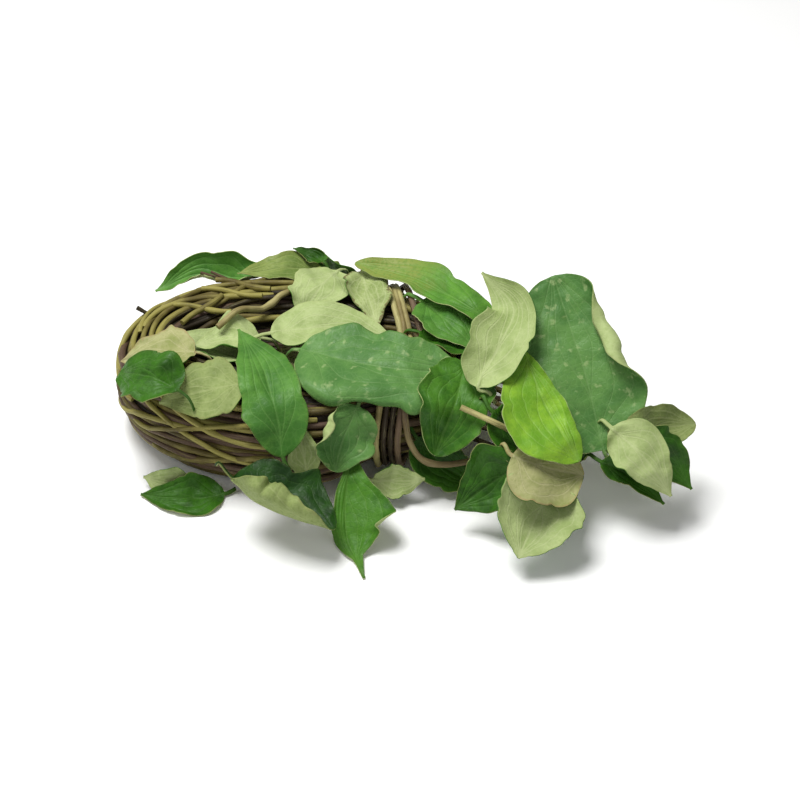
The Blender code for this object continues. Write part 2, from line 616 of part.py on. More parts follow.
def lay_right_leaves(laid):
    lay_leaf("leaf_right_inner", [(50, 10, 20), (58, 8, 18), (84, 14, 12), (114, 20, 4)],
             ((0.2, 0, 1), (0.3, 0, 1)), 44, LEAF_DARK, laid, phase=0.3, lift=UP)
    lay_leaf("leaf_right_under", [(42, -22, 34), (47, -27, 28), (68, -33, 15), (98, -30, 5)],
             ((0, -0.5, 0.85), (0, -0.2, 1)), 48, LEAF_DARK, laid, phase=2.3, outline=BROAD)
    lay_stem("stem_right", [(74, -34, 26), (84, -41, 22), (93, -47, 18), (104, -50, 12), (113, -54, 7)],
             3.6, STEM_OLIVE, laid)
    lay_stem("stem_end",
             [(46, -6, 34), (62, -16, 32), (82, -26, 28), (104, -36, 24), (124, -42, 18), (143, -50, 10)],
             3.2, STEM_BROWN, laid)
    lay_leaf("leaf_right_big", [(108, -44, 10), (103, -42, 17), (94, -10, 42), (79, 29, 74)],
             ((-0.1, -0.62, 0.75), (-0.1, -0.62, 0.75)), 66, LEAF_BLUE_GREEN, laid, fold=6,
             curl=(10, 0, -20, -10), rows=13, outline=BLUNT, halves=(1.0, 1.15), roll=(170, 0, 0.72, 0.42))
    lay_stem("stem_hollow", [(30, -37, 40), (39, -41, 38), (55, -47, 33), (70, -56, 27)], 3.4, STEM_TAN, laid,
             lift=FRONT)
    lay_leaf("leaf_front_right_dark", [(66, -56, 28), (62, -60, 23), (46, -66, 14), (27, -76, 4)],
             ((0, -0.7, 0.7), (0, -0.7, 0.7)), 40, LEAF_DARK, laid)
    lay_leaf("leaf_front_right_tip", [(81, -58, 16), (78, -66, 13), (69, -82, 8), (58, -109, 2)],
             ((0.1, -0.4, 0.9), (0.1, -0.4, 0.9)), 50, LEAF_PALE, laid, phase=0.2, outline=BROAD, tail=0.05)
    lay_leaf("leaf_front_right_pale", [(52, -56, 31), (56, -61, 28), (72, -65, 24), (93, -64, 17)],
             ((0, -0.6, 0.8), (0, -0.6, 0.8)), 40, LEAF_TAN, laid, phase=1.3, outline=BROAD,
             halves=(1.25, 0.75))
    lay_leaf("leaf_right_lime", [(60, 0, 56), (63, -8, 54), (74, -37, 40), (90, -62, 25)],
             ((0.1, -0.65, 0.75), (0.1, -0.65, 0.75)), 44, LEAF_LIME, laid, rows=11, outline=LATE,
             halves=(1.3, 0.45))
    lay_leaf("leaf_right_folded", [(44, -20, 36), (39, -23, 43), (50, -8, 57), (58, 12, 67), (42, 30, 76)],
             ((-0.3, -0.8, 0.5), (-0.3, -0.8, 0.5)), 36, LEAF_PALE, laid, rows=11)
    lay_leaf("leaf_end_under", [(97, -44, 14), (102, -47, 12), (119, -55, 8), (134, -70, 3)],
             ((0, -0.5, 0.85), (0, -0.5, 0.85)), 17, LEAF_DARK, laid)
    lay_leaf("leaf_end_far_pale", [(109, -42, 31), (114, -44, 32), (129, -42, 30), (153, -34, 26)],
             ((0, -0.5, 0.85), (0, -0.5, 0.85)), 25, LEAF_PALE, laid, outline=BROAD)
    lay_leaf("leaf_end_dark", [(116, -40, 31), (121, -44, 28), (135, -51, 18), (149, -61, 5)],
             ((0.3, -0.6, 0.7), (0.3, -0.6, 0.7)), 25, LEAF_DARK, laid)
    lay_leaf("leaf_end_pale", [(103, -37, 31), (107, -42, 30), (122, -52, 20), (137, -67, 6)],
             ((0, -0.6, 0.8), (0, -0.6, 0.8)), 31, LEAF_PALE, laid)


def lay_rear_leaves(laid):
    lay_leaf("leaf_rear_end", [(-116, 50, 24), (-122, 52, 20), (-136, 54, 12), (-151, 50, 4)],
             ((-0.4, 0.7, 0.6), (-0.6, 0.6, 0.4)), 34, LEAF_PALE, laid, phase=0.9, lift=REAR)
    lay_leaf("leaf_rear_left", [(-84, 60, 40), (-90, 66, 34), (-102, 80, 18), (-120, 92, 3)],
             ((0, 0.7, 0.7), (0, 0.4, 0.9)), 42, LEAF_GREEN, laid, curl=(30, 50, 10, 30), lift=REAR)
    lay_leaf("leaf_rear_across", [(-14, 58, 40), (-22, 62, 36), (-46, 68, 30), (-72, 70, 26)],
             ((0, 0.7, 0.7), (0, 0.8, 0.6)), 40, LEAF_PALE, laid, curl=(10, 20, -20, -20), phase=2.1,
             lift=REAR)
    lay_leaf("leaf_rear_low", [(-66, 66, 26), (-62, 72, 20), (-50, 84, 10), (-34, 96, 3)],
             ((0, 0.5, 0.8), (0, 0.2, 1)), 44, LEAF_DARK, laid, curl=(40, 20, 20, 60), phase=1.5, lift=REAR)
    lay_leaf("leaf_rear_waist", [(-2, 56, 46), (2, 62, 40), (8, 78, 22), (22, 90, 6)],
             ((0.2, 0.8, 0.6), (0.1, 0.6, 0.8)), 40, LEAF_BLUE_GREEN, laid, curl=(20, 60, 20, 20), lift=REAR)
    lay_leaf("leaf_rear_right", [(34, 38, 42), (41, 44, 38), (58, 56, 26), (80, 74, 12)],
             ((0, 0.6, 0.8), (0.3, 0.5, 0.8)), 48, LEAF_GREEN, laid, curl=(-20, 20, 20, 60), lift=REAR)
    lay_leaf("leaf_rear_right_low", [(58, 18, 16), (67, 24, 14), (86, 38, 9), (110, 54, 3)],
             ((0, 0.3, 1), (0.2, 0.2, 1)), 42, LEAF_PALE, laid, curl=(30, 20, 20, 50), phase=0.6, lift=UP)


def main():
    clear_scene()
    hank = make_hank()
    tie = make_tie(hank)
    laid = [tree_of(hank), tree_of(tie)]
    lay_inner_leaves(laid)
    lay_left_leaves(laid)
    lay_back_leaves(laid)
    lay_front_leaves(laid)
    lay_middle_leaves(laid)
    lay_trough_leaf(laid)
    lay_right_leaves(laid)
    lay_rear_leaves(laid)


main()
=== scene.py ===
"""Bunch of uziza vines: the fine look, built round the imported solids.

Sizes are in millimetres and MM turns them into metres. X runs along the bunch to its leafy end, -Y is the
side that most leaves hang over, and Z is up.
"""
import math

import bpy
import numpy as np
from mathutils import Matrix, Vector
from mathutils.bvhtree import BVHTree


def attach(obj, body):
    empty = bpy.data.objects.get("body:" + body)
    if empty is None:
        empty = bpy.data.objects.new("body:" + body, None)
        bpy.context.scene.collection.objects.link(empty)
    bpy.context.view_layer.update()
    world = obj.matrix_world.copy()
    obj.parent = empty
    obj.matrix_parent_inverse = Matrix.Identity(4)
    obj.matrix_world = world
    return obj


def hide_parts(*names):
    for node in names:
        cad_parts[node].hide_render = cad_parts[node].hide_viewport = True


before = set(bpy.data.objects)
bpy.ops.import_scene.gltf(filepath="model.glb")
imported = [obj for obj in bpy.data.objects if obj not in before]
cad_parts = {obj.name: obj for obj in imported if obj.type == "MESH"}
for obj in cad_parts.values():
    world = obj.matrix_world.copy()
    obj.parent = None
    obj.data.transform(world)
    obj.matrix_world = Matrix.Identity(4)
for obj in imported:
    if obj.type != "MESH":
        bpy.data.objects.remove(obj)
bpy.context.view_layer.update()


# The camera stands in front of the bunch and looks down on it, as the photograph does. It is an 85 mm lens a
# little over a metre away, aimed just above the surface under the middle of the bunch.
MM = 0.001
CAMERA_TARGET = Vector((-0.454, 7.059, 13.6)) * MM
CAMERA_DISTANCE = 1038.9 * MM
CAMERA_RISE = math.radians(40.0)


def place_object(name, data):
    placed = bpy.data.objects.new(name, data)
    bpy.context.scene.collection.objects.link(placed)
    return placed


lens = bpy.data.cameras.new("camera")
lens.lens = 85.0
lens.sensor_width = 36.0
lens.clip_start, lens.clip_end = 0.01, 50.0
camera = place_object("camera", lens)
towards_camera = Vector((0.0, -math.cos(CAMERA_RISE), math.sin(CAMERA_RISE)))
camera.location = CAMERA_TARGET + towards_camera * CAMERA_DISTANCE
camera.rotation_euler = (-towards_camera).to_track_quat("-Z", "Y").to_euler()
bpy.context.scene.camera = camera


# The wound vines: about sixty turns of thin half-dried stem in a long hank, looped at its left end and pulled
# in at its waist. They run side by side, wander a little, and cross here and there. They swell at the joints
# that leaves once grew from.
CENTRING = np.array([-0.546, -7.059, 0.0])
HANK_MIDDLE, HANK_HEIGHT = -52.0, 60.0
HANK_HALF_LENGTH, HANK_HALF_DEPTH = 101.0, 65.0
INNER_HALF_LENGTH, INNER_HALF_DEPTH = 54.0, 17.0
SECTION_SQUARENESS = 0.85
TIE_MIDDLE, TIE_REACH = -2.0, 40.0
WAIST_FLAT, WAIST_PULL, WAIST_DIP, WAIST_LIFT = 13.0, 0.15, 3.0, 7.4
LEAFY_END_PULL, LEAFY_END_DROP = 0.22, 8.0
INNERMOST_STEM, LOWEST_STEM, LIE_STEPS = math.radians(150.0), math.radians(-54.0), 400
TURN_STEPS, CROSSING_STEPS, CUT_STEPS, STRAY_STEPS = 150, 60, 8, 20
STEM_GIRTH, CROSSING_GIRTH, CUT_GIRTH, STRAY_GIRTH = (1.4, 2.0), (1.2, 1.7), (0.8, 1.1), (1.3, 1.6)
JOINT_SPACING, JOINT_SWELLING, JOINT_SHARPNESS, CROOK_SCALE = 0.058, 0.22, 60.0, 60.0
PURPLE_TONE = 0.4

# The waves that stems wander in, each as how many there are and how large. Then what is in and under the
# outer turns: the inner layer, thick and of low tone as painted shade in the gaps between the outer turns,
# the stems of the valley, and those of the bed, at these places across.
STEM_PITCH, STEM_SHIFT, STEM_WANDER = 4.3, 0.35, (6, 2.4)
STEM_BULGE, STEM_SINK, BULGE_LIMIT = (5, 1.5), 0.3, 0.9
INNER_LAYER, INNER_STEMS, INNER_GIRTH, INNER_WANDER, INNER_BULGE = 4.8, 26, 3.3, (5, 2.5), (4, 0.6)
VALLEY_HEIGHT, VALLEY_WANDER, VALLEY_PLACES = 42.5, (3, 1.0), np.linspace(-0.06, -0.86, 5)
BED_GAP, BED_WANDER = 1.0, (3, 0.5)
BED_PLACES = np.concatenate([np.linspace(-0.9, 0.0, 5), np.linspace(0.08, 0.66, 8)])
BOW_FULLNESS, CROSSING_SWAY, STRAY_SWAY, FLOOR_CLEARANCE = 0.4, 0.4, 1.2, 0.7

# Lengths that cross over the others: where each begins and ends round the hank's plan and round its section,
# in degrees, and how far it bows out. Then short cut ends: where each comes out of the hank, and its tip.
# Then stray lengths, loose across the top of the hank or out of its leafy end: two ends and a tone each.
# Those out of the leafy end are darker the lower they lie, a painted shade under the leaves there.
CROSSING_STEMS = (
    (190, 262, 62, 8, 1.6), (176, 250, 20, 54, 1.8), (198, 268, 30, -12, 1.6), (205, 262, -6, 32, 2.0),
    (168, 236, -20, 14, 1.5), (212, 275, 70, 40, 1.6), (150, 205, 50, 10, 1.5), (120, 176, 30, 66, 1.8),
    (95, 160, 84, 40, 1.6), (100, 150, 30, 78, 1.8), (88, 140, 60, 104, 1.6), (105, 172, 100, 70, 1.6),
    (215, 262, -30, -2, 1.3), (60, 110, 30, 70, 1.5), (300, 345, 50, 10, 1.5), (20, 70, 60, 20, 1.5),
)
CUT_ENDS = (
    ((-92, 53, 54), (-112, 55, 60)), ((-88, 48, 56), (-106, 53, 62)), ((-134, 20, 55), (-144, 23, 60)),
)
STRAY_STEMS = (
    ((-110, 40, 60), (-76, 29, 63.5), 0.95), ((-103, 49, 59.5), (-72, 36, 63), 0.8),
    ((-124, 24, 61), (-92, 16, 62.5), 1.0), ((-118, 8, 61), (-98, 30, 63), 0.9),
    ((36, -2, 30), (68, -13, 25), 0.7), ((38, -10, 24), (64, -9, 22), 0.4),
    ((34, 4, 34), (61, -4, 28), 0.8), ((40, -14, 30), (58, -19, 24), 0.6),
    ((28, -24, 20), (57, -27, 14), 0.4), ((30, -30, 14), (55, -33, 8), 0.2),
    ((26, -20, 14), (56, -20, 10), 0.15), ((30, -27, 17), (52, -22, 18), 0.3),
)


def waist(x):
    away = np.clip((np.abs(x - TIE_MIDDLE) - WAIST_FLAT) / (TIE_REACH - WAIST_FLAT), 0.0, 1.0)
    return 0.5 + 0.5 * np.cos(math.pi * away)


def oval_point(turn, across, out, z):
    """Points of the hank's plan: across is 0 on the inner oval, 1 on the outer one, -1 at the very middle."""
    inner_share = np.minimum(1.0, 1.0 + across)
    outer_share = np.maximum(0.0, across)
    half_length = INNER_HALF_LENGTH * inner_share + out
    half_length = half_length + (HANK_HALF_LENGTH - INNER_HALF_LENGTH) * outer_share
    half_depth = INNER_HALF_DEPTH * inner_share + out
    half_depth = half_depth + (HANK_HALF_DEPTH - INNER_HALF_DEPTH) * outer_share
    x = HANK_MIDDLE + half_length * np.cos(turn)
    leafy = np.maximum(0.0, (x - TIE_MIDDLE) / (HANK_MIDDLE + HANK_HALF_LENGTH - TIE_MIDDLE))
    pull = WAIST_PULL * waist(x) + LEAFY_END_PULL * leafy * (1.0 - waist(x))
    height = HANK_HEIGHT - WAIST_DIP * waist(x) - LEAFY_END_DROP * leafy
    floor = WAIST_LIFT * waist(x)
    y = half_depth * np.sin(turn) * (1.0 - pull)
    return np.stack([x, y, floor + (height - floor) * z / HANK_HEIGHT], axis=-1)


def hank_point(turn, lie, out):
    """Points of the ring: turn goes round its plan, and lie round its section, from level at the outside."""
    sideways, upwards = np.cos(lie), np.sin(lie)
    across = 0.5 + 0.5 * np.copysign(np.abs(sideways) ** SECTION_SQUARENESS, sideways)
    height = 0.5 + 0.5 * np.copysign(np.abs(upwards) ** SECTION_SQUARENESS, upwards)
    return oval_point(turn, across, out * sideways, HANK_HEIGHT * height + out * upwards)


def painter(tree):
    """Short ways to build a node tree: (fill, node, sums)."""

    def fill(made, values):
        for key, value in values.items():
            socket = made.inputs[key]
            if isinstance(value, bpy.types.NodeSocket):
                tree.links.new(value, socket)
            elif socket.type == "RGBA":
                socket.default_value = (*value, 1.0)
            elif value is not None:
                socket.default_value = value

    def node(kind, values=None, **settings):
        made = tree.nodes.new(kind)
        for key, value in settings.items():
            setattr(made, key, value)
        fill(made, values or {})
        return made

    def sums(operation, first, second=None):
        return node("ShaderNodeMath", {0: first, 1: second}, operation=operation).outputs[0]

    return fill, node, sums


def stem_tree():
    """Tubes along lines: each line's own points say how thick it is, and joints swell along it."""
    tree = bpy.data.node_groups.new("stems along lines", "GeometryNodeTree")
    for name, kind in (("Lines", "Geometry"), ("Crook", "Float"), ("Sides", "Int"), ("Bark", "Material")):
        tree.interface.new_socket(name, in_out="INPUT", socket_type="NodeSocket" + kind)
    tree.interface.new_socket("Stems", in_out="OUTPUT", socket_type="NodeSocketGeometry")
    node, sums = painter(tree)[1:]

    def named(attribute):
        made = node("GeometryNodeInputNamedAttribute", {"Name": attribute}, data_type="FLOAT")
        return made.outputs["Attribute"]

    def store(attribute, kind, geometry, value):
        values = {"Name": attribute, "Geometry": geometry, "Value": value}
        return node("GeometryNodeStoreNamedAttribute", values, data_type=kind, domain="POINT").outputs[0]

    given = node("NodeGroupInput").outputs
    curves = node("GeometryNodeMeshToCurve", {"Mesh": given["Lines"]}).outputs["Curve"]
    length = node("GeometryNodeSplineParameter").outputs["Length"]
    noise = node("ShaderNodeTexNoise", {"Scale": CROOK_SCALE, "W": named("start")}, noise_dimensions="4D")
    centred = node("ShaderNodeVectorMath", {0: noise.outputs["Color"], 1: (0.5,) * 3}, operation="SUBTRACT")
    crook = node("ShaderNodeVectorMath", {0: centred.outputs[0], "Scale": given["Crook"]}, operation="SCALE")
    moved = node("GeometryNodeSetPosition", {"Geometry": curves, "Offset": crook.outputs[0]}).outputs[0]
    waves = sums("ADD", sums("DIVIDE", length, JOINT_SPACING), named("start"))
    crest = sums("ABSOLUTE", sums("COSINE", sums("MULTIPLY", waves, math.pi)))
    swelling = sums("MULTIPLY", sums("POWER", crest, JOINT_SHARPNESS), JOINT_SWELLING)
    radius = sums("MULTIPLY", sums("ADD", swelling, 1.0), named("girth"))
    circle = {"Radius": 1.0, "Resolution": given["Sides"]}
    ring = node("GeometryNodeCurvePrimitiveCircle", circle, mode="RADIUS")
    place = node("GeometryNodeInputPosition").outputs[0]
    tubes = node("GeometryNodeCurveToMesh", {
        "Curve": store("along", "FLOAT", moved, length),
        "Profile Curve": store("round", "FLOAT_VECTOR", ring.outputs["Curve"], place),
        "Fill Caps": True, "Scale": radius})
    smooth = node("GeometryNodeSetShadeSmooth", {"Geometry": tubes.outputs["Mesh"]}).outputs[0]
    real = node("GeometryNodeRealizeInstances", {0: smooth}).outputs[0]
    finished = node("GeometryNodeSetMaterial", {"Geometry": real, "Material": given["Bark"]}).outputs[0]
    node("NodeGroupOutput", {0: finished})
    return tree


STEM_TREE = stem_tree()


def grow_stems(name, lines, girths, tones, starts, bark, closed=0, sides=8, crook=0.6):
    """One piece of stems: a line of points, its radius, its tone and the place of its first joint for each.

    The first lines, as many as closed says, run round and meet their own start.
    """
    points, edges, values = [], [], {"girth": [], "tone": [], "start": []}
    for number, (line, girth, tone, start) in enumerate(zip(lines, girths, tones, starts)):
        base = len(points)
        points += list(line)
        edges += [(base + step, base + step + 1) for step in range(len(line) - 1)]
        if number < closed:
            edges.append((base + len(line) - 1, base))
        for key, value in (("girth", girth * MM), ("tone", tone), ("start", start)):
            values[key] += list(np.broadcast_to(value, len(line)))
    mesh = bpy.data.meshes.new(name)
    mesh.from_pydata([tuple((point - CENTRING) * MM) for point in points], edges, [])
    for key, numbers in values.items():
        attribute = mesh.attributes.new(key, "FLOAT", "POINT")
        attribute.data.foreach_set("value", np.array(numbers, dtype=np.float32))
    piece = place_object(name, mesh)
    modifier = piece.modifiers.new("grow", "NODES")
    modifier.node_group = STEM_TREE
    settings = {"Crook": crook * MM, "Sides": sides, "Bark": bark}
    for socket in STEM_TREE.interface.items_tree:
        if socket.name in settings:
            modifier[socket.identifier] = settings[socket.name]
    grown = bpy.data.meshes.new_from_object(piece.evaluated_get(bpy.context.evaluated_depsgraph_get()))
    piece.modifiers.remove(modifier)
    piece.data = grown
    grown.name = name
    return piece


def new_material(name):
    material = bpy.data.materials.new(name)
    material.use_nodes = True
    return material, material.node_tree.nodes["Principled BSDF"]


def skin_painter(material, shader):
    """Short ways to paint a material: (node, sums, times, around, mix, fade, noise, read, finish)."""
    fill, node, sums = painter(material.node_tree)

    def times(first, second):
        return sums("MULTIPLY", first, second)

    def around(value, size):
        """A value from 0 to 1, set round zero and made this large."""
        return times(sums("SUBTRACT", value, 0.5), size)

    def mix(share, first, second):
        return node("ShaderNodeMix", {0: share, 6: first, 7: second}, data_type="RGBA").outputs[2]

    def fade(value, low, high, at_low=0.0, at_high=1.0):
        """at_low where the value is low, at_high where it is high, and smooth between."""
        values = {"Value": value, "From Min": low, "From Max": high, "To Min": at_low, "To Max": at_high}
        return node("ShaderNodeMapRange", values, interpolation_type="SMOOTHSTEP").outputs[0]

    def noise(vector, scale, detail):
        values = {"Vector": vector, "Scale": scale, "Detail": detail}
        return node("ShaderNodeTexNoise", values).outputs["Fac"]

    def read(attribute, output="Fac"):
        return node("ShaderNodeAttribute", attribute_name=attribute).outputs[output]

    def finish(colour, rough, height, strength, specular):
        bump = node("ShaderNodeBump", {"Height": height, "Strength": strength, "Distance": 0.4 * MM})
        fill(shader, {"Base Color": colour, "Roughness": rough, "Normal": bump.outputs[0],
                      "Specular IOR Level": specular})

    return node, sums, times, around, mix, fade, noise, read, finish


def bark_material(name, dark, middle, light, purple):
    """Half-dried stem: its colour goes from dark through middle to light with its tone, streaked lengthwise.

    A few stems, of one narrow band of tones, are purple-brown.
    """
    material, shader = new_material(name)
    node, sums, times, around, mix, fade, noise, read, finish = skin_painter(material, shader)
    tone = read("tone")
    ring = node("ShaderNodeSeparateXYZ", {0: read("round", "Vector")}).outputs
    lengthwise = sums("ADD", times(read("along"), 26.0), tone)
    streak_place = node("ShaderNodeCombineXYZ", {"X": ring[0], "Y": ring[1], "Z": lengthwise}).outputs[0]
    streaks = noise(streak_place, 3.2, 4.0)
    place = node("ShaderNodeTexCoord").outputs["Object"]
    grain = noise(place, 900.0, 2.0)
    shade = sums("ADD", tone, around(noise(place, 45.0, 4.0), 1.5))
    colour = mix(fade(shade, 0.15, 0.6), dark, middle)
    colour = mix(fade(shade, 0.55, 1.0), colour, light)
    off_purple = sums("ABSOLUTE", sums("SUBTRACT", tone, PURPLE_TONE))
    colour = mix(fade(off_purple, 0.08, 0.12, 0.85, 0.0), colour, purple)
    colour = mix(fade(streaks, 0.56, 0.7, 0.0, 0.55), colour, dark)
    colour = mix(fade(streaks, 0.44, 0.32, 0.0, 0.35), colour, light)
    height = sums("ADD", streaks, times(grain, 0.3))
    finish(colour, fade(grain, 0.3, 0.7, 0.5, 0.75), height, strength=0.5, specular=0.3)
    return material


VINE_BARK = bark_material(
    "wound stem bark", (0.018, 0.012, 0.004), (0.1, 0.077, 0.017), (0.27, 0.24, 0.058), (0.09, 0.052, 0.034))
draw = np.random.default_rng(11)


def wave_along(turn, count, size):
    """A smooth closed wandering: a few sine waves round the hank, drawn at random."""
    wander = np.zeros_like(turn)
    for number in range(2, 2 + count):
        wander += size / number * np.sin(number * turn + draw.uniform(0.0, math.tau))
    return wander


def distances_of(route):
    return np.concatenate([[0.0], np.cumsum(np.linalg.norm(np.diff(route, axis=0), axis=1))])


fine_lies = np.linspace(INNERMOST_STEM, LOWEST_STEM, LIE_STEPS)
travelled = distances_of(hank_point(np.full(LIE_STEPS, math.pi / 2.0), fine_lies, np.zeros(LIE_STEPS)))
stem_count = int(travelled[-1] / STEM_PITCH)
turn = np.linspace(0.0, math.tau, TURN_STEPS, endpoint=False)
lines, girths, tones, starts = [], [], [], []


def add_stem(line, girth, low_tone, high_tone):
    lines.append(line)
    girths.append(girth)
    tones.append(draw.uniform(low_tone, high_tone))
    starts.append(draw.uniform(0.0, 1.0))


for number in range(stem_count):
    reach = travelled[-1] * (number + draw.uniform(-STEM_SHIFT, STEM_SHIFT)) / (stem_count - 1)
    lie = np.interp(reach + wave_along(turn, *STEM_WANDER), travelled, fine_lies)
    out = np.minimum(wave_along(turn, *STEM_BULGE) - STEM_SINK, BULGE_LIMIT)
    add_stem(hank_point(turn, lie, out), draw.uniform(*STEM_GIRTH), 0.08, 1.0)
# The inner layer: thick stems of low tone, a painted shade that shows only in the gaps between the outer
# turns.
for number in range(INNER_STEMS):
    reach = travelled[-1] * number / (INNER_STEMS - 1)
    lie = np.interp(reach + wave_along(turn, *INNER_WANDER), travelled, fine_lies)
    add_stem(hank_point(turn, lie, wave_along(turn, *INNER_BULGE) - INNER_LAYER), INNER_GIRTH, 0.0, 0.35)
for across in VALLEY_PLACES:
    height = VALLEY_HEIGHT + wave_along(turn, *VALLEY_WANDER)
    add_stem(oval_point(turn, across, 0.0, height), draw.uniform(*STEM_GIRTH), 0.1, 0.9)
for across in BED_PLACES:
    height = STEM_GIRTH[1] + BED_GAP + np.abs(wave_along(turn, *BED_WANDER))
    add_stem(oval_point(turn, across, 0.0, height), STEM_GIRTH[1], 0.1, 0.7)
closed_count = len(lines)
for first_turn, last_turn, first_lie, last_lie, out in CROSSING_STEMS:
    part_turn = np.radians(np.linspace(first_turn, last_turn, CROSSING_STEPS))
    half_turn = np.linspace(0.0, math.pi, CROSSING_STEPS)
    lie = np.radians(first_lie + (last_lie - first_lie) * (0.5 - 0.5 * np.cos(half_turn)))
    bow = out * np.sin(half_turn) ** BOW_FULLNESS + CROSSING_SWAY * np.sin(5.0 * part_turn)
    add_stem(hank_point(part_turn, lie, bow), draw.uniform(*CROSSING_GIRTH), 0.6, 1.2)
for root, end in CUT_ENDS:
    add_stem(np.linspace(root, end, CUT_STEPS), draw.uniform(*CUT_GIRTH), 0.2, 0.7)
for first_end, last_end, tone in STRAY_STEMS:
    line = np.linspace(first_end, last_end, STRAY_STEPS)
    line[:, 1] += STRAY_SWAY * np.sin(np.linspace(0.0, math.tau, STRAY_STEPS))
    add_stem(line, draw.uniform(*STRAY_GIRTH), tone - 0.1, tone + 0.1)
for line in lines:
    line[:, 2] = np.maximum(line[:, 2], STEM_GIRTH[1] + FLOOR_CLEARANCE)
wound = grow_stems("wound_stems", lines, girths, tones, starts, VINE_BARK, closed=closed_count)
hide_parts("wound_vines")
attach(wound, "root")


# The tie: four turns of the same stem drawn tight round the hank's waist. In front the outer two are apart,
# one tan and one purple-brown, and the inner two are sunk in the dark between them.
TIE_TURNS, TIE_STEM, TIE_HEART, TIE_SLANT, TIE_STEPS = 4, 3.8, 28.0, 12.0, 120
TIE_TONES, TIE_SUNK = (0.95, 0.6, 0.8, 0.4), (0.0, 1.3, 1.5, 0.0)
TIE_GIRTHS, TIE_STARTS = (1.7, 1.5, 1.5, 1.75), (0.1, 0.5, 0.3, 0.8)
TIE_SWAY, TIE_TWIST, TIE_NARROWING, TIE_OUT, FRONT_BREADTH, SUNK_SHADE = 0.35, 1.9, 0.7, 0.48, 1.6, 0.9
packed_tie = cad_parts["tie_vine"].data
tie_corners = [Vector(np.array(vertex.co) / MM + CENTRING) for vertex in packed_tie.vertices]
tie_solid = BVHTree.FromPolygons(tie_corners, [tuple(face.vertices) for face in packed_tie.polygons])
angles = np.linspace(0.0, math.tau, TIE_STEPS, endpoint=False)
in_front = np.clip(-FRONT_BREADTH * np.cos(angles), 0.0, 1.0) ** 2
lines, tie_tones = [], []
for number in range(TIE_TURNS):
    line = []
    for angle, front in zip(angles, in_front):
        cross = TIE_SWAY * math.sin(angle + TIE_TWIST * number) * (1.0 - front)
        offset = ((number + 0.5 + cross) / TIE_TURNS - 0.5) * TIE_TURNS * TIE_STEM
        middle = TIE_MIDDLE - TIE_SLANT / 2.0 + TIE_SLANT * math.sin(angle) ** 2
        out = Vector((0.0, math.cos(angle), math.sin(angle)))
        heart = Vector((middle + TIE_NARROWING * offset, 0.0, TIE_HEART))
        reach = tie_solid.ray_cast(heart, out)[3] + TIE_STEM * TIE_OUT - TIE_SUNK[number] * front
        line.append(np.array([middle + offset, *(Vector((0.0, 0.0, TIE_HEART)) + out * reach).yz]))
    lines.append(line)
    # The two sunk turns have their tone lowered in front by SUNK_SHADE: painted shade where they sink between
    # the outer two.
    tie_tones.append(TIE_TONES[number] - (SUNK_SHADE * in_front if TIE_SUNK[number] else 0.0))
TIE_BARK = bark_material(
    "tie stem bark", (0.033, 0.022, 0.01), (0.21, 0.165, 0.06), (0.41, 0.37, 0.15), (0.15, 0.098, 0.062))
tie = grow_stems("tie_stems", lines, TIE_GIRTHS, tie_tones, TIE_STARTS, TIE_BARK, closed=TIE_TURNS)
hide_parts("tie_vine")
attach(tie, "root")


# The loose stems: lengths of the same vine with plain cut ends. One leaves the tie at the front and runs to
# the right, one carries the leaves of the right end, and the others lie in the hollow and across the back.
STEM_RINGS_A_STOP, LOOSE_STEPS = 4, 60
ROUTE_STEPS, ROUTE_REACH = 12, 0.02
UP, FRONT, REAR = (0.0, 0.0, 1.0), (0.0, -0.77, 0.64), (0.0, 0.7, 0.7)
MATCH = 0.03
LOOSE_THINNING, LOOSE_SIDES, LOOSE_CROOK, LOOSE_START = 0.15, 12, 0.5, 0.3


def unit(vectors):
    return vectors / np.linalg.norm(vectors, axis=-1, keepdims=True)


def smooth_route(stops):
    """A Catmull-Rom curve through the stops, as many short steps."""
    stops = [np.array(stop, dtype=float) for stop in stops]
    ends = [2.0 * stops[0] - stops[1]] + stops + [2.0 * stops[-1] - stops[-2]]
    route = []
    for span in range(len(stops) - 1):
        a, b, c, d = ends[span:span + 4]
        for step in range(ROUTE_STEPS):
            t = step / ROUTE_STEPS
            route.append(0.5 * (2.0 * b + (c - a) * t + (2.0 * a - 5.0 * b + 4.0 * c - d) * t ** 2
                                + (3.0 * b - a - 3.0 * c + d) * t ** 3))
    route.append(stops[-1])
    return np.array(route)


def along(route, distances):
    """The points and the directions at some distances along a route."""
    travelled = distances_of(route)

    def at(where):
        return np.stack([np.interp(where, travelled, route[:, axis]) for axis in range(3)], axis=-1)

    reach = ROUTE_REACH * travelled[-1]
    return at(distances), unit(at(distances + reach) - at(distances - reach))


def laid_rise(node, points, way):
    """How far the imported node's own corners are along the way from these points of its drawn form."""
    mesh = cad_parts[node].data
    corners = np.unique(np.array([vertex.co for vertex in mesh.vertices]).round(7), axis=0) / MM + CENTRING
    rise = np.zeros(points.shape[:-1])
    guess = 0.0
    for index in np.ndindex(rise.shape):
        apart = corners - points[index]
        ahead = apart @ way
        aside = np.linalg.norm(apart - ahead[:, None] * way, axis=1)
        near = ahead[aside < MATCH]
        guess = near[np.abs(near - guess).argmin()]
        rise[index] = guess
    return rise


def flow(places, values, wanted):
    """A smooth curve through values at places, read at the wanted places; it runs along the first axis."""
    slopes = np.gradient(values, places, axis=0)
    left = np.clip(np.searchsorted(places, wanted) - 1, 0, len(places) - 2)
    span = places[left + 1] - places[left]
    extra = (1,) * (values.ndim - 1)
    t = np.clip((wanted - places[left]) / span, 0.0, 1.0).reshape(-1, *extra)
    span = span.reshape(-1, *extra)
    return ((2 * t ** 3 - 3 * t ** 2 + 1) * values[left] + (t ** 3 - 2 * t ** 2 + t) * span * slopes[left]
            + (3 * t ** 2 - 2 * t ** 3) * values[left + 1] + (t ** 3 - t ** 2) * span * slopes[left + 1])


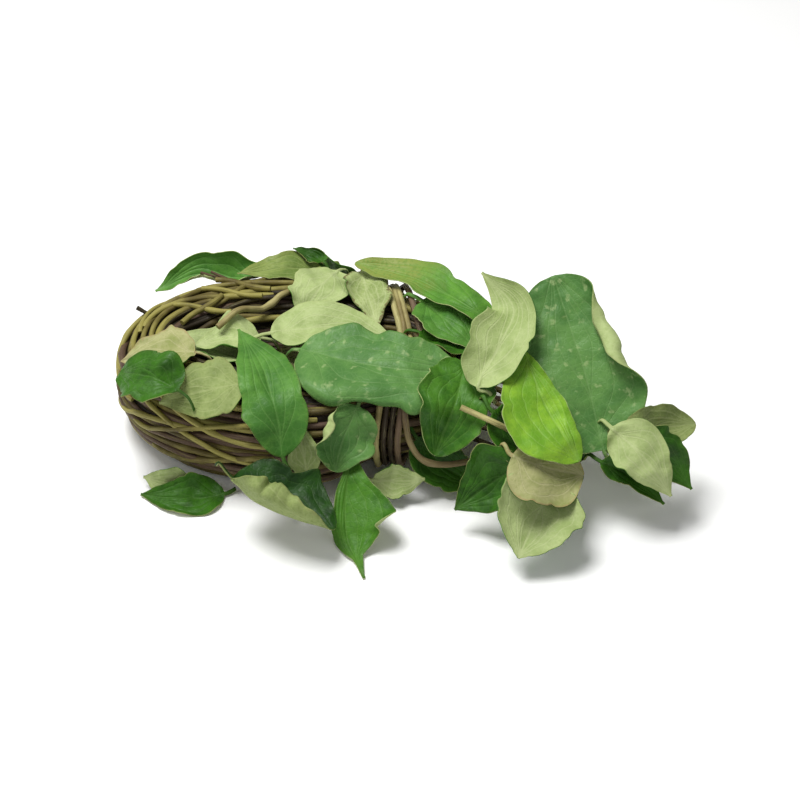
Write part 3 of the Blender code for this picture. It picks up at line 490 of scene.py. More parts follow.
def lay_stem(node, stops, width, tone, bark, lift=UP):
    """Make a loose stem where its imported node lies."""
    route = smooth_route(stops)
    distances = np.linspace(0.0, distances_of(route)[-1], STEM_RINGS_A_STOP * (len(stops) - 1) + 1)
    middles, forwards = along(route, distances)
    sides = unit(np.cross(forwards, UP))
    way = unit(np.array(lift, dtype=float))
    rise = laid_rise(node, middles + sides * width / 2.0, way)
    wanted = np.linspace(0.0, distances[-1], LOOSE_STEPS)
    line = along(route, wanted)[0] + flow(distances, rise, wanted)[:, None] * way
    piece = grow_stems(node.replace("stem", "loose_stem"), [line], [width / 2.0 - LOOSE_THINNING], [tone],
                       [LOOSE_START], bark, sides=LOOSE_SIDES, crook=LOOSE_CROOK)
    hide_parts(node)
    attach(piece, "root")


lay_stem("stem_back_top", [(-98, -1, 58), (-88, 9, 60), (-76, 21, 61), (-60, 36, 60)],
         3.8, 0.62, TIE_BARK)
lay_stem("stem_front", [(1, -50, 56), (2, -60, 46), (4, -67, 34), (11, -71, 24), (24, -70, 20), (43, -66, 21),
                        (62, -61, 24)], 3.6, 0.5, TIE_BARK, lift=(0, -1, 0))
lay_stem("stem_right", [(74, -34, 26), (84, -41, 22), (93, -47, 18), (104, -50, 12), (113, -54, 7)],
         3.6, 0.6, VINE_BARK)
lay_stem("stem_hollow", [(30, -37, 40), (39, -41, 38), (55, -47, 33), (70, -56, 27)],
         3.4, 0.85, TIE_BARK, lift=FRONT)
lay_stem("stem_end", [(46, -6, 34), (62, -16, 32), (82, -26, 28), (104, -36, 24), (124, -42, 18),
                      (143, -50, 10)], 3.2, 0.38, TIE_BARK)


# The leaves in the hank's valley, and what every leaf is: a thin half-dried blade, broad near its base and
# drawn out to a tip, with a midrib and three pairs of bowed veins sunk in its face, on a stalk of its own.
# The face is green and the back is a pale grey-green.
STALK_WIDTH, STALK_THICKNESS, TIP_WIDTH = 2.2, 2.0, 1.6
CAD_THICKNESS, BLADE_THICKNESS, STALK_THINNING = 0.7, 0.42, 0.1
PLAIN_HALF, ROLLED_HALF = (0.55, 1.0), (0.45, 0.7, 0.85, 1.0)
CAD_STALK_ROWS = np.array([0.0, 0.6])
BASE_SHARE, END_CROWDING, FULL_FOLD = 0.25, 0.35, 0.4
ROLL_START, ROLL_EASING, SECTION_STEPS = 0.45, 2, 24
EGG, BROAD, BLUNT = (0.66, 0.78, 0.45), (0.85, 0.5, 0.2), (0.9, 0.45, 0.0)
LATE, DROP = (1.3, 0.6, 0.0), (1.8, 0.7, 0.0)
TIP_SHARPNESS, TAIL_WIDTH = 5, 0.16
RIGHT_WAVE_PHASE = 2.2
VEINS = ((0.01, 0.36, 0.80), (0.03, 0.40, 0.47), (0.24, 0.66, 0.30))
VEIN_CLOSING, RIB_WIDTH, VEIN_WIDTH, VEIN_STRENGTH = 0.75, 1.0, 0.9, 0.8
VEIN_RISE, VEIN_SINK = 0.28, -0.32
BLADE_ROWS, STALK_FINE_ROWS, FOOT_ROWS, COLUMNS = 64, 5, 3, 45
FOOT_LENGTH, FOOT_CLEARANCE, FOOT_AHEAD, FOOT_DROP = 7.0, 2.0, 0.6, 0.8
MARGIN_WAVES, NICK_PLACES, NICK_DEPTH, NICK_WIDTH = (0.16, 0.7, 5), (0.25, 0.85, 2), 0.4, 0.03
DENT_SIZE, DENT_WAVES, DENT_LENGTHS = 8.0, 6, (0.8, 2.2)
CREASE_SIZE, CREASE_WAVES, CREASE_LENGTHS, CREASE_BEND = 16.0, 4, (1.0, 2.4), (0.5, 0.37)
EDGE_WAVES, EDGE_SHIFT, FULL_WIDTH = (6.0, 15.0, 4), 40.0, 50.0
EDGE_FRILL, EDGE_LIFT, EDGE_REACH = 0.5, 0.5, 2.2
NARROW_HALF, BROADENING, STALK_SHARE = 1.5, 4.0, 0.10
RIB_HALF, RIB_HEIGHT, RIB_TAPER = 0.7, 0.55, 1.5
FLOOR_GAP = 0.05
PALE_PATCH = (0.36, 0.46, 0.20)
leaf_draw = np.random.default_rng(23)


def blade_outline(leaf, progress):
    """Half width of a blade as a share of its widest. A tail is its last share, drawn out narrow."""
    shape, fullness, narrowing = leaf["outline"]
    share = np.minimum(1.0, progress / (1.0 - leaf["tail"]))
    egg = np.maximum(0.0, np.sin(math.pi * share ** shape)) ** fullness
    egg = egg * (1.0 - narrowing * share ** TIP_SHARPNESS)
    if leaf["tail"]:
        tail = TAIL_WIDTH * np.minimum(1.0, (1.0 - progress) / leaf["tail"])
        egg = np.where(progress > 0.5, np.maximum(egg, tail), egg)
    return egg


def section_point(fold, curl, roll, reach):
    """Points of one half's section, one a row, with its width as the unit: how far sideways, and up."""
    steps = (np.arange(SECTION_STEPS) + 0.5) / SECTION_STEPS * reach
    rolled = np.clip((steps - ROLL_START) / (1.0 - ROLL_START), 0.0, 1.0)
    turned = fold[:, None] + curl[:, None] * steps + roll[:, None] * rolled ** 2 * (3.0 - 2.0 * rolled)
    return np.cos(turned).mean(axis=1) * reach, np.sin(turned).mean(axis=1) * reach


def blade_shares(rows):
    even = np.linspace(0.0, 1.0, rows)
    crowded = 0.5 - 0.5 * np.cos(math.pi * even)
    return even + END_CROWDING * (crowded - even)


def leaf_middle(leaf, distances, shares, places, ragged=0.0):
    """A grid of points through the middle of the blade, and the half width on its side at each of them."""
    points, forwards = along(leaf["route"], distances)
    progress = np.maximum(shares, 0.0)
    share = progress[:, None]
    face_base, face_tip = np.broadcast_to(np.array(leaf["face"], dtype=float), (2, 3))
    up = face_base * (1.0 - share) + face_tip * share
    up = unit(up - forwards * (up * forwards).sum(axis=1, keepdims=True))
    side = np.cross(forwards, up)
    narrow = np.where(progress < 0.5, STALK_WIDTH, TIP_WIDTH) / 2.0
    roll_middle, roll_reach = leaf["roll"][2:]
    rolled = 0.5 + 0.5 * np.cos(math.pi * np.minimum(1.0, np.abs(progress - roll_middle) / roll_reach))
    middle = np.repeat(points[:, None, :], len(places), axis=1)
    half_width = np.empty(middle.shape[:2])
    for column, place in enumerate(places):
        half = 0 if place > 0.0 else 1
        base, tip = leaf["curl"][2 * half:2 * half + 2]
        widest = leaf["width"] / 2.0 * leaf["halves"][half]
        width = np.maximum(narrow, widest * blade_outline(leaf, progress))
        spread = np.minimum(1.0, (width - narrow) / (FULL_FOLD * widest))
        fold = math.radians(leaf["fold"]) * spread
        curl = np.radians(base + (tip - base) * progress) * spread * width / widest
        roll = math.radians(leaf["roll"][half]) * rolled * spread * (width / widest) ** ROLL_EASING
        sideways, rise = section_point(fold, curl, roll, abs(place))
        arm = width * (1.0 + ragged * leaf["margins"][half](progress) * spread)
        phase = leaf["phase"] + (RIGHT_WAVE_PHASE if half == 0 else 0.0)
        wave = leaf["wave"] * place ** 2 * np.sin(math.tau * leaf["waves"] * progress + phase)
        middle[:, column] += side * np.copysign(arm * sideways, place)[:, None]
        middle[:, column] += up * (arm * rise + wave * width / widest)[:, None]
        half_width[:, column] = width
    return middle, half_width


def grid_normals(middle):
    normals = np.cross(np.gradient(middle, axis=1), np.gradient(middle, axis=0))
    return normals / np.maximum(np.linalg.norm(normals, axis=2, keepdims=True), 1e-9)


def random_waves(low, high, count):
    """A smooth random function of one number: a few sine waves whose lengths lie between low and high."""
    waves = list(zip(leaf_draw.uniform(low, high, count), leaf_draw.uniform(0.0, math.tau, count)))
    return lambda x: sum(np.sin(math.tau * x / length + phase) for length, phase in waves) / count


def margin_line():
    """How far a margin stands out or in along the blade: soft waves, with two small nicks."""
    waves = random_waves(*MARGIN_WAVES)
    nicks = leaf_draw.uniform(*NICK_PLACES)
    return lambda share: waves(share) - sum(
        NICK_DEPTH * np.exp(-((share - nick) / NICK_WIDTH) ** 2) for nick in nicks)


def random_ways(x, y, size, count, lengths):
    """For some plane waves over a blade: how far each point is along the wave, its length and its phase."""
    for _ in range(count):
        way = leaf_draw.uniform(0.0, math.pi)
        length = size * leaf_draw.uniform(*lengths)
        phase = leaf_draw.uniform(0.0, math.tau)
        yield x * math.cos(way) + y * math.sin(way), length, phase


def crumple(x, y):
    """A smooth random field over the blade: its dents."""
    ways = random_ways(x, y, DENT_SIZE, DENT_WAVES, DENT_LENGTHS)
    return sum(np.sin(math.tau * far / length + phase) for far, length, phase in ways) / DENT_WAVES


def creases(x, y):
    """Like crumple, but with sharp ridges, as a leaf has where it was bent."""
    total = 0.0
    for far, length, phase in random_ways(x, y, CREASE_SIZE, CREASE_WAVES, CREASE_LENGTHS):
        slope = math.pi * far / length + phase
        bent = slope + CREASE_BEND[0] * np.sin(slope * CREASE_BEND[1])
        total = total + (1.0 - 2.0 * np.abs(np.sin(bent)))
    return total / CREASE_WAVES


def vein_depth(across, share, width):
    """1 on a vein and 0 between the veins; across is -1 to 1 over the blade."""
    reach = np.abs(across)
    closing = 1.0 - VEIN_CLOSING * share ** 3
    depth = np.exp(-(reach * width / RIB_WIDTH) ** 2)
    for first, last, place in VEINS:
        t = np.clip((share - first) / (last - first), 0.0, 1.0)
        line = place * t * t * (3.0 - 2.0 * t) * closing
        depth = np.maximum(depth, VEIN_STRENGTH * np.exp(-((reach - line) * width / VEIN_WIDTH) ** 2))
    return depth


def leaf_material(name, body, deep, vein, dry, tip=None, veins=0.32, net=0.12, dryness=0.12, spots=0.0,
                  gloss=0.45):
    """A leaf's skin: its veins follow the blade, with blotches, a fine net, dry edges and pale patches.

    tip is the colour that it turns towards its tip.
    """
    material, shader = new_material(name)
    node, sums, times, around, mix, fade, noise, read, finish = skin_painter(material, shader)
    spread = read("spread", "Vector")
    across, share, margin = node("ShaderNodeSeparateXYZ", {0: read("blade", "Vector")}).outputs
    width = node("ShaderNodeSeparateXYZ", {0: spread}).outputs[2]
    flat = node("ShaderNodeVectorMath", {0: spread, 1: (1.0, 1.0, 0.0)}, operation="MULTIPLY").outputs[0]
    reach = sums("ABSOLUTE", across)
    closing = sums("SUBTRACT", 1.0, times(sums("POWER", share, 3.0), VEIN_CLOSING))
    line = fade(times(reach, width), 0.25, 0.85, 1.0, 0.0)
    for first, last, place in VEINS:
        bow = times(fade(share, first, last, 0.0, place), closing)
        off = times(sums("ABSOLUTE", sums("SUBTRACT", reach, bow)), width)
        line = sums("MAXIMUM", line, fade(off, 0.12, 0.6, 0.9, 0.0))
    cells = node("ShaderNodeTexVoronoi", {"Vector": flat, "Scale": 0.3, "Randomness": 0.9},
                 feature="DISTANCE_TO_EDGE")
    threads = fade(cells.outputs["Distance"], 0.0, 0.12, 1.0, 0.0)
    blotches = noise(spread, 0.09, 4.0)
    mottle = noise(spread, 0.55, 3.0)
    cloud = noise(node("ShaderNodeTexCoord").outputs["Object"], 28.0, 2.0)
    colour = mix(fade(sums("ADD", blotches, around(cloud, 1.0)), 0.35, 0.7), body, deep)
    if tip:
        colour = mix(fade(sums("ADD", share, around(blotches, 0.6)), 0.35, 0.75), colour, tip)
    colour = mix(fade(mottle, 0.45, 0.75, 0.0, 0.5), colour, deep)
    colour = mix(times(threads, net), colour, vein)
    colour = mix(times(line, veins), colour, vein)
    if spots:
        light = fade(noise(flat, 0.17, 5.0), 0.58, 0.68)
        colour = mix(times(light, spots), colour, PALE_PATCH)
    edge = sums("ADD", margin, around(mottle, 6.0))
    burnt = times(fade(edge, 0.3, 1.8, 1.0, 0.0), dryness)
    patches = times(fade(blotches, 0.68, 0.78), dryness)
    colour = mix(sums("MAXIMUM", burnt, patches), colour, dry)
    height = sums("ADD", times(line, -0.6), times(threads, -0.25))
    height = sums("ADD", height, times(mottle, 0.5))
    rough = fade(mottle, 0.3, 0.7, gloss - 0.08, gloss + 0.12)
    finish(colour, rough, height, strength=0.55, specular=0.16)
    return material


GREEN_FACE = leaf_material(
    "green leaf face", (0.09, 0.235, 0.035), (0.045, 0.145, 0.02), (0.14, 0.29, 0.07), (0.17, 0.19, 0.04))
MID_FACE = leaf_material(
    "mid leaf face", (0.062, 0.185, 0.016), (0.028, 0.105, 0.009), (0.11, 0.24, 0.04), (0.13, 0.14, 0.03))
DARK_FACE = leaf_material(
    "dark leaf face", (0.038, 0.135, 0.008), (0.017, 0.065, 0.005), (0.07, 0.16, 0.03), (0.09, 0.09, 0.025))
# The trough's inside: a dark face made darker still, a painted shade for the hollow of the fold.
SHADED_DEEP_FACE = leaf_material(
    "deep leaf face in painted shade", (0.014, 0.058, 0.004), (0.006, 0.028, 0.003), (0.04, 0.1, 0.016), (0.07, 0.07, 0.02))
BLUE_FACE = leaf_material(
    "blue-green leaf face", (0.105, 0.235, 0.055), (0.065, 0.17, 0.038), (0.17, 0.3, 0.1), (0.2, 0.22, 0.06),
    veins=0.3, spots=0.45)
OLIVE_FACE = leaf_material(
    "olive leaf face", (0.2, 0.26, 0.065), (0.11, 0.17, 0.035), (0.3, 0.36, 0.12), (0.24, 0.21, 0.06),
    dryness=0.25)
TURNING_FACE = leaf_material(
    "turning leaf face", (0.11, 0.28, 0.032), (0.06, 0.18, 0.02), (0.16, 0.32, 0.07), (0.2, 0.2, 0.05),
    tip=(0.22, 0.27, 0.055))
LIME_FACE = leaf_material(
    "lime leaf face", (0.23, 0.43, 0.032), (0.13, 0.3, 0.02), (0.27, 0.44, 0.09), (0.1, 0.17, 0.025),
    dryness=0.3)
PALE_BACK = leaf_material(
    "pale leaf back", (0.37, 0.45, 0.185), (0.27, 0.35, 0.12), (0.46, 0.51, 0.26), (0.3, 0.28, 0.1),
    veins=0.4, net=0.18, gloss=0.62)
SPOTTED_BACK = leaf_material(
    "spotted leaf back", (0.36, 0.43, 0.17), (0.24, 0.31, 0.1), (0.46, 0.51, 0.26), (0.13, 0.1, 0.04),
    veins=0.4, net=0.3, dryness=0.9, gloss=0.62)
DULL_BACK = leaf_material(
    "dull leaf back", (0.24, 0.3, 0.1), (0.15, 0.2, 0.055), (0.33, 0.38, 0.16), (0.22, 0.2, 0.06),
    veins=0.4, net=0.18, dryness=0.25, gloss=0.62)
TAN_BACK = leaf_material(
    "dry leaf back", (0.36, 0.36, 0.16), (0.23, 0.26, 0.08), (0.46, 0.44, 0.24), (0.31, 0.22, 0.1),
    veins=0.45, dryness=0.6, gloss=0.66)

# What a leaf shows and what it hides, its slot, and whether the side on view is its back.
PALE, SPOTTED, DULL = (
    (back, GREEN_FACE, "leaf_pale", True) for back in (PALE_BACK, SPOTTED_BACK, DULL_BACK))
TAN = (TAN_BACK, DARK_FACE, "leaf_tan", True)
DARK, SHADED_DEEP = ((face, DULL_BACK, "leaf_dark", False) for face in (DARK_FACE, SHADED_DEEP_FACE))
GREEN, MID = ((face, PALE_BACK, "leaf_green", False) for face in (GREEN_FACE, MID_FACE))
BLUE_GREEN = (BLUE_FACE, PALE_BACK, "leaf_blue_green", False)
OLIVE, TURNING = ((face, PALE_BACK, "leaf_olive", False) for face in (OLIVE_FACE, TURNING_FACE))
LIME = (LIME_FACE, PALE_BACK, "leaf_lime", False)

# A leaf's form where its own call doesn't say otherwise: angles in degrees, each half's width, and how it is
# laid down. roll is the turn of each half's margin, the middle of the roll and its reach along the blade.
PLAIN_FORM = {
    "fold": 14.0, "curl": (20, 20, 20, 20), "wave": 1.8, "waves": 2.0, "phase": 0.0, "rows": 9, "lift": FRONT,
    "outline": EGG, "halves": (1.0, 1.0), "tail": 0.0, "roll": (0, 0, 0.5, 0.5), "rolled_over": None,
    "dents": 0.5, "bends": 0.8, "ragged": 0.14,
}


def grow_leaf(node, finish, rib, face, width, **form):
    """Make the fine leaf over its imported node: the same form, laid in the same place, thinner and veined.

    rib gives its midrib's stops. face is the way that it faces, or two ways, at its base and at its tip.
    rolled_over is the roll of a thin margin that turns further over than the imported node's.
    """
    route = smooth_route(rib)
    stalk = float(np.linalg.norm(np.subtract(rib[1], rib[0])))
    blade = distances_of(route)[-1] - stalk
    leaf = {**PLAIN_FORM, **form, "route": route, "face": face, "width": width,
            "margins": [margin_line(), margin_line()]}
    shown, hidden, slot, shows_back = finish
    way = unit(np.array(leaf["lift"], dtype=float))

    cad_shares = np.concatenate([[-1.0, -1.0], blade_shares(leaf["rows"])])
    cad_distances = np.concatenate([stalk * CAD_STALK_ROWS, stalk + blade * cad_shares[2:]])
    right, left = (ROLLED_HALF if angle else PLAIN_HALF for angle in leaf["roll"][:2])
    cad_sides = np.array([-place for place in reversed(left)] + [0.0] + list(right))
    cad_middle = leaf_middle(leaf, cad_distances, cad_shares, cad_sides)[0]
    base = np.maximum(0.0, 1.0 - np.maximum(cad_shares, 0.0) / BASE_SHARE)
    swell = (STALK_THICKNESS - CAD_THICKNESS) * base
    thickness = CAD_THICKNESS + swell[:, None] * (1.0 - cad_sides ** 2)
    cad_skin = cad_middle + grid_normals(cad_middle) * thickness[:, :, None] / 2.0
    rise = laid_rise(node, cad_skin, way)
    leaf["roll"] = leaf["rolled_over"] or leaf["roll"]

    shares = np.concatenate([np.full(STALK_FINE_ROWS, -1.0), blade_shares(BLADE_ROWS)])
    distances = np.concatenate([np.linspace(0.0, stalk, STALK_FINE_ROWS, endpoint=False),
                                stalk + blade * shares[STALK_FINE_ROWS:]])
    places = np.linspace(-1.0, 1.0, COLUMNS)
    middle, half = leaf_middle(leaf, distances, shares, places, leaf["ragged"])
    fine_rise = flow(cad_sides, flow(cad_distances, rise, distances).T, places).T
    middle = middle + fine_rise[:, :, None] * way

    root, forward = middle[0], unit(middle[1, COLUMNS // 2] - middle[0, COLUMNS // 2])
    foot = min(FOOT_LENGTH, root[:, 2].min() - FOOT_CLEARANCE)
    if foot > 0.0:
        steps = np.linspace(1.0, 0.0, FOOT_ROWS, endpoint=False)[:, None, None]
        ahead = forward * foot * FOOT_AHEAD * steps
        lower = root[None] - ahead - np.array(UP) * foot * FOOT_DROP * steps ** 2
        middle = np.concatenate([lower, middle])
        shares = np.concatenate([np.full(FOOT_ROWS, -1.0), shares])
        half = np.concatenate([np.repeat(half[:1], FOOT_ROWS, axis=0), half])
        distances = np.concatenate([-foot * steps[:, 0, 0], distances])

    progress = np.maximum(shares, 0.0)[:, None]
    off_rib = np.abs(places)[None] * half
    margin = (1.0 - np.abs(places)[None]) * half
    sideways, length = places[None] * half, distances[:, None] - stalk
    broad = np.clip((half - NARROW_HALF) / BROADENING, 0.0, 1.0)
    relief = vein_depth(places[None], progress, half) * broad * (VEIN_RISE if shows_back else VEIN_SINK)
    relief = relief + broad * leaf["dents"] * crumple(sideways, length)
    relief = relief + broad * leaf["bends"] * creases(sideways, length)
    edge_waves = random_waves(*EDGE_WAVES)
    frill = edge_waves(length + EDGE_SHIFT * (places[None] > 0.0)) * min(1.0, width / FULL_WIDTH)
    relief = relief + broad * np.exp(-margin / EDGE_REACH) * (EDGE_FRILL * frill + EDGE_LIFT)
    middle = middle + grid_normals(middle) * relief[:, :, None]

    stalky = np.clip(1.0 - progress / STALK_SHARE, 0.0, 1.0)
    stalk_half = np.sqrt(np.maximum(0.0, 1.0 - (off_rib / (STALK_WIDTH / 2.0)) ** 2))
    swell = stalky * stalk_half * (STALK_THICKNESS / 2.0 - BLADE_THICKNESS / 2.0)
    on_rib = np.exp(-(off_rib / RIB_HALF) ** 2)
    rib_swell = (1.0 - stalky) * on_rib * RIB_HEIGHT * (1.0 - progress) ** RIB_TAPER
    thin = BLADE_THICKNESS / 2.0 * np.where(shares[:, None] < 0.0, STALK_THINNING, 1.0)
    shown_half = thin + swell + (rib_swell if shows_back else 0.0)
    hidden_half = thin + swell + (0.0 if shows_back else rib_swell)
    normals = grid_normals(middle)
    skins = [middle + normals * shown_half[:, :, None], middle - normals * hidden_half[:, :, None]]
    corners = np.concatenate([skin.reshape(-1, 3) for skin in skins])
    corners[:, 2] = np.maximum(corners[:, 2], FLOOR_GAP)

    below = len(shares) * COLUMNS
    index = np.arange(below).reshape(-1, COLUMNS)
    quads = (index[:-1, :-1], index[:-1, 1:], index[1:, 1:], index[1:, :-1])
    shown_faces = np.stack([corner.ravel() for corner in quads], axis=1)
    rim = np.concatenate([index[0], index[1:, -1], index[-1, -2::-1], index[-2:0:-1, 0]])
    beside = np.roll(rim, -1)
    wall = np.stack([rim, rim + below, beside + below, beside], axis=1)
    faces = np.concatenate([shown_faces, shown_faces[:, ::-1] + below, wall])
    mesh = bpy.data.meshes.new(node.replace("leaf_", "leaf_blade_"))
    mesh.from_pydata([tuple(corner) for corner in (corners - CENTRING) * MM], [], faces.tolist())
    mesh.materials.append(shown)
    mesh.materials.append(hidden)
    which = np.ones(len(faces), dtype=np.int32)
    which[:len(shown_faces)] = 0
    mesh.polygons.foreach_set("material_index", which)
    for key, parts in (("blade", (places[None], progress, margin)), ("spread", (sideways, length, half))):
        values = np.stack(np.broadcast_arrays(*parts), axis=-1).reshape(-1, 3)
        both = np.concatenate([values, values]).astype(np.float32)
        mesh.attributes.new(key, "FLOAT_VECTOR", "POINT").data.foreach_set("vector", both.ravel())
    mesh.shade_smooth()
    piece = place_object(mesh.name, mesh)
    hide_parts(node)
    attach(piece, "root")


# The leaves in the hank's valley lie nearly flat among the stems, two of them face down.
grow_leaf(
    "leaf_valley_left", PALE, [(-70, -16, 50), (-76, -14, 50), (-96, -8, 50), (-122, -4, 52)], UP, 40,
    curl=(30, 20, 20, 30), phase=0.8, lift=UP)
grow_leaf(
    "leaf_valley_middle", TAN, [(-20, 8, 50), (-28, 6, 52), (-50, -2, 50), (-74, -6, 50)], UP, 38,
    curl=(20, 30, 30, 20), phase=2.8, lift=UP)
grow_leaf(
    "leaf_valley_right", DARK, [(4, 4, 56), (10, 2, 56), (26, -4, 54), (42, -8, 50)], (UP, (0.3, 0, 1)), 30,
    curl=(20, 30, 30, 20), phase=1.4, lift=UP)


# The leaves on the hank's left end: three pale ones turned over, a dark one along its front edge, and two low
# ones that come out from under the stems there.
grow_leaf(
    "leaf_left_far_pale", PALE, [(-70, 2, 54), (-76, 1, 56), (-92, -3, 58), (-110, -6, 56)], UP, 32,
    phase=0.4, dents=0.7, bends=1.3)
grow_leaf(
    "leaf_left_tan", TAN, [(-102, -12, 54), (-108, -12, 56), (-128, -12, 56), (-149, -9, 48)],
    (UP, (-0.4, 0, 1)), 40, curl=(-20, -20, 20, 0), phase=1.9, dents=0.8, bends=1.2)
grow_leaf(
    "leaf_left_near_pale", DULL, [(-76, -38, 57), (-82, -41, 58), (-102, -44, 57), (-126, -46, 50)],
    ((0, -0.2, 1), (0, -0.5, 0.9)), 36, curl=(-20, -20, -30, -30), phase=2.6, dents=0.7, bends=1.3)
grow_leaf(
    "leaf_left_dark", DARK, [(-110, -42, 51), (-115, -40, 54), (-130, -29, 54), (-148, -16, 46)],
    ((0, -0.1, 1), (-0.4, -0.2, 0.9)), 34, curl=(-20, -10, -30, -30), phase=0.9, outline=BROAD)
grow_leaf(
    "leaf_left_floor_pale", PALE, [(-108, -64, 14), (-113, -66, 14), (-124, -68, 14), (-137, -64, 14)],
    (0, -0.9, 0.4), 20, rows=7)
grow_leaf(
    "leaf_left_floor", DARK, [(-88, -64, 6), (-94, -66, 4), (-112, -68, 3), (-138, -65, 3)], (0, -0.4, 0.9),
    26, phase=1.1)


# The leaves along the back of the hank: a curled one at its left corner, a small dark hook, an olive leaf,
# two pale ones turned over, and the long one with the leaf under it.
grow_leaf(
    "leaf_back_left_curled", GREEN,
    [(-70, 55, 50), (-78, 58, 51), (-94, 63, 52), (-116, 67, 53), (-139, 60, 47)], (0, -0.3, 0.95), 32,
    fold=25, curl=(50, 80, 30, 60), phase=1.0, lift=UP)
grow_leaf(
    "leaf_back_olive", OLIVE, [(-38, 64, 54), (-46, 62, 56), (-67, 58, 58), (-91, 51, 54)],
    ((0, -0.4, 0.9), (0, -0.5, 0.85)), 26, curl=(-20, -30, 10, 10), phase=0.5, lift=UP)
grow_leaf(
    "leaf_back_hook", DARK, [(-41, 62, 52), (-44, 65, 57), (-51, 70, 62), (-61, 71, 64)],
    ((0, -0.6, 0.8), (0, -0.4, 0.9)), 15, curl=(40, 40, 30, 40), wave=0.8, rows=7, lift=UP)
grow_leaf(
    "leaf_back_pale", PALE, [(-32, 66, 54), (-36, 60, 57), (-46, 40, 58), (-56, 17, 56)], (UP, (0, -0.3, 1)),
    34, curl=(-20, -20, -20, -30), phase=2.0, dents=0.7, bends=1.4)
grow_leaf(
    "leaf_back_spotted", SPOTTED, [(-20, 66, 56), (-22, 58, 58), (-18, 34, 58), (-13, 10, 56)],
    (UP, (0, -0.3, 1)), 27, curl=(20, 40, -20, -20), phase=0.7, dents=0.7, bends=1.2)
grow_leaf(
    "leaf_back_under", GREEN, [(4, 44, 52), (11, 38, 52), (26, 20, 50), (43, 0, 46)],
    ((0, -0.3, 0.95), (0.2, -0.4, 0.9)), 34, phase=1.7)
grow_leaf(
    "leaf_back_long", TURNING, [(52, 12, 46), (47, 18, 53), (25, 36, 58), (3, 51, 60), (-26, 63, 60)],
    ((0.25, -0.5, 0.8), (0, -0.25, 1)), 26, curl=(-20, -20, 40, 20), rows=11, outline=BROAD)


# The leaves at the front: one that hangs out to a narrow tip near the surface, its broad edge rolled up, and
# four smaller ones against the stems.
grow_leaf(
    "leaf_front_behind", DARK, [(4, -40, 30), (8, -46, 26), (22, -56, 15), (44, -64, 6)],
    ((0, -0.7, 0.7), (0, -0.6, 0.8)), 30, phase=1.6)
grow_leaf(
    "leaf_front_under_tie", PALE, [(-21, -64, 14), (-15, -66, 14), (-4, -64, 12), (12, -60, 10)],
    (0, -0.8, 0.5), 20, rows=7)
grow_leaf(
    "leaf_front_small_pale", PALE, [(-48, -72, 16), (-49, -70, 22), (-51, -63, 34), (-53, -56, 47)],
    (0, -0.9, 0.4), 19, rows=7)
grow_leaf(
    "leaf_front_hanging", MID,
    [(-22, -66, 47), (-25, -70, 40), (-29, -89, 26), (-28, -109, 12), (-19, -127, 3)],
    ((0.1, -0.5, 0.8), (0.1, -0.6, 0.8)), 36, curl=(-40, -60, 20, 20), rows=13, outline=DROP,
    halves=(0.4, 1.6), tail=0.15, roll=(0, 110, 0.72, 0.24))
grow_leaf(
    "leaf_front_blue", BLUE_GREEN, [(-20, -42, 54), (-23, -50, 51), (-30, -60, 38), (-35, -70, 24)],
    (0, -0.9, 0.4), 34, curl=(10, 10, -20, -20), outline=BROAD, roll=(150, 0, 0.4, 0.45))


# The leaves on top of the hank and over its waist: a pale one turned over, the broad one on it, the one that
# hangs over the front at the left, and a wrinkled one beside the tie.
grow_leaf(
    "leaf_middle_pale", PALE, [(-78, 4, 54), (-70, 5, 56), (-38, 8, 58), (-3, -3, 58)], (UP, (0, -0.2, 1)),
    38, curl=(-10, -10, -20, -20), phase=2.2, rows=11, dents=0.7, bends=1.3)
grow_leaf(
    "leaf_middle_broad", BLUE_GREEN, [(-60, -9, 54), (-53, -12, 58), (-12, -29, 61), (34, -31, 57)],
    ((0, -0.15, 1), (0, -0.3, 1)), 54, curl=(-20, -20, -15, -15), rows=12, outline=BROAD, halves=(1.2, 0.85),
    roll=(-130, 0, 0.5, 0.7))
grow_leaf(
    "leaf_middle_draped", GREEN,
    [(-57, -74, 26), (-61, -69, 34), (-64, -56, 52), (-73, -24, 58), (-87, 8, 56)],
    ((0, -0.95, 0.3), (0.1, -0.1, 1)), 33, curl=(-30, -30, -20, -20), rows=12)
grow_leaf(
    "leaf_waist_wrinkled", MID, [(36, -14, 55), (33, -22, 57), (27, -48, 50), (17, -68, 33)],
    ((0, -0.3, 1), (0, -0.95, 0.3)), 42, wave=2.5, waves=3.0, rows=11, outline=BROAD, dents=0.9, bends=1.4)


# The leaf at the front that is folded like a trough: it is dark inside, its dark face darkened further as
# painted shade in the fold, and dull and pale outside.
grow_leaf(
    "leaf_front_trough", SHADED_DEEP, [(-92, -66, 27), (-86, -69, 20), (-71, -76, 9), (-55, -83, 6), (-34, -91, 5)],
    ((0, 0.5, 1), (0.1, 0.4, 1)), 56, fold=30, curl=(20, 20, 10, 10), rows=12, outline=BROAD,
    halves=(1.0, 1.1), roll=(140, 0, 0.45, 0.8))


# The leaves of the right end: the big one that leans up, the pale one folded before it, the lime one, and the
# low ones round them whose tips reach the surface.
grow_leaf(
    "leaf_right_inner", DARK, [(50, 10, 20), (58, 8, 18), (84, 14, 12), (114, 20, 4)],
    ((0.2, 0, 1), (0.3, 0, 1)), 44, phase=0.3, lift=UP)
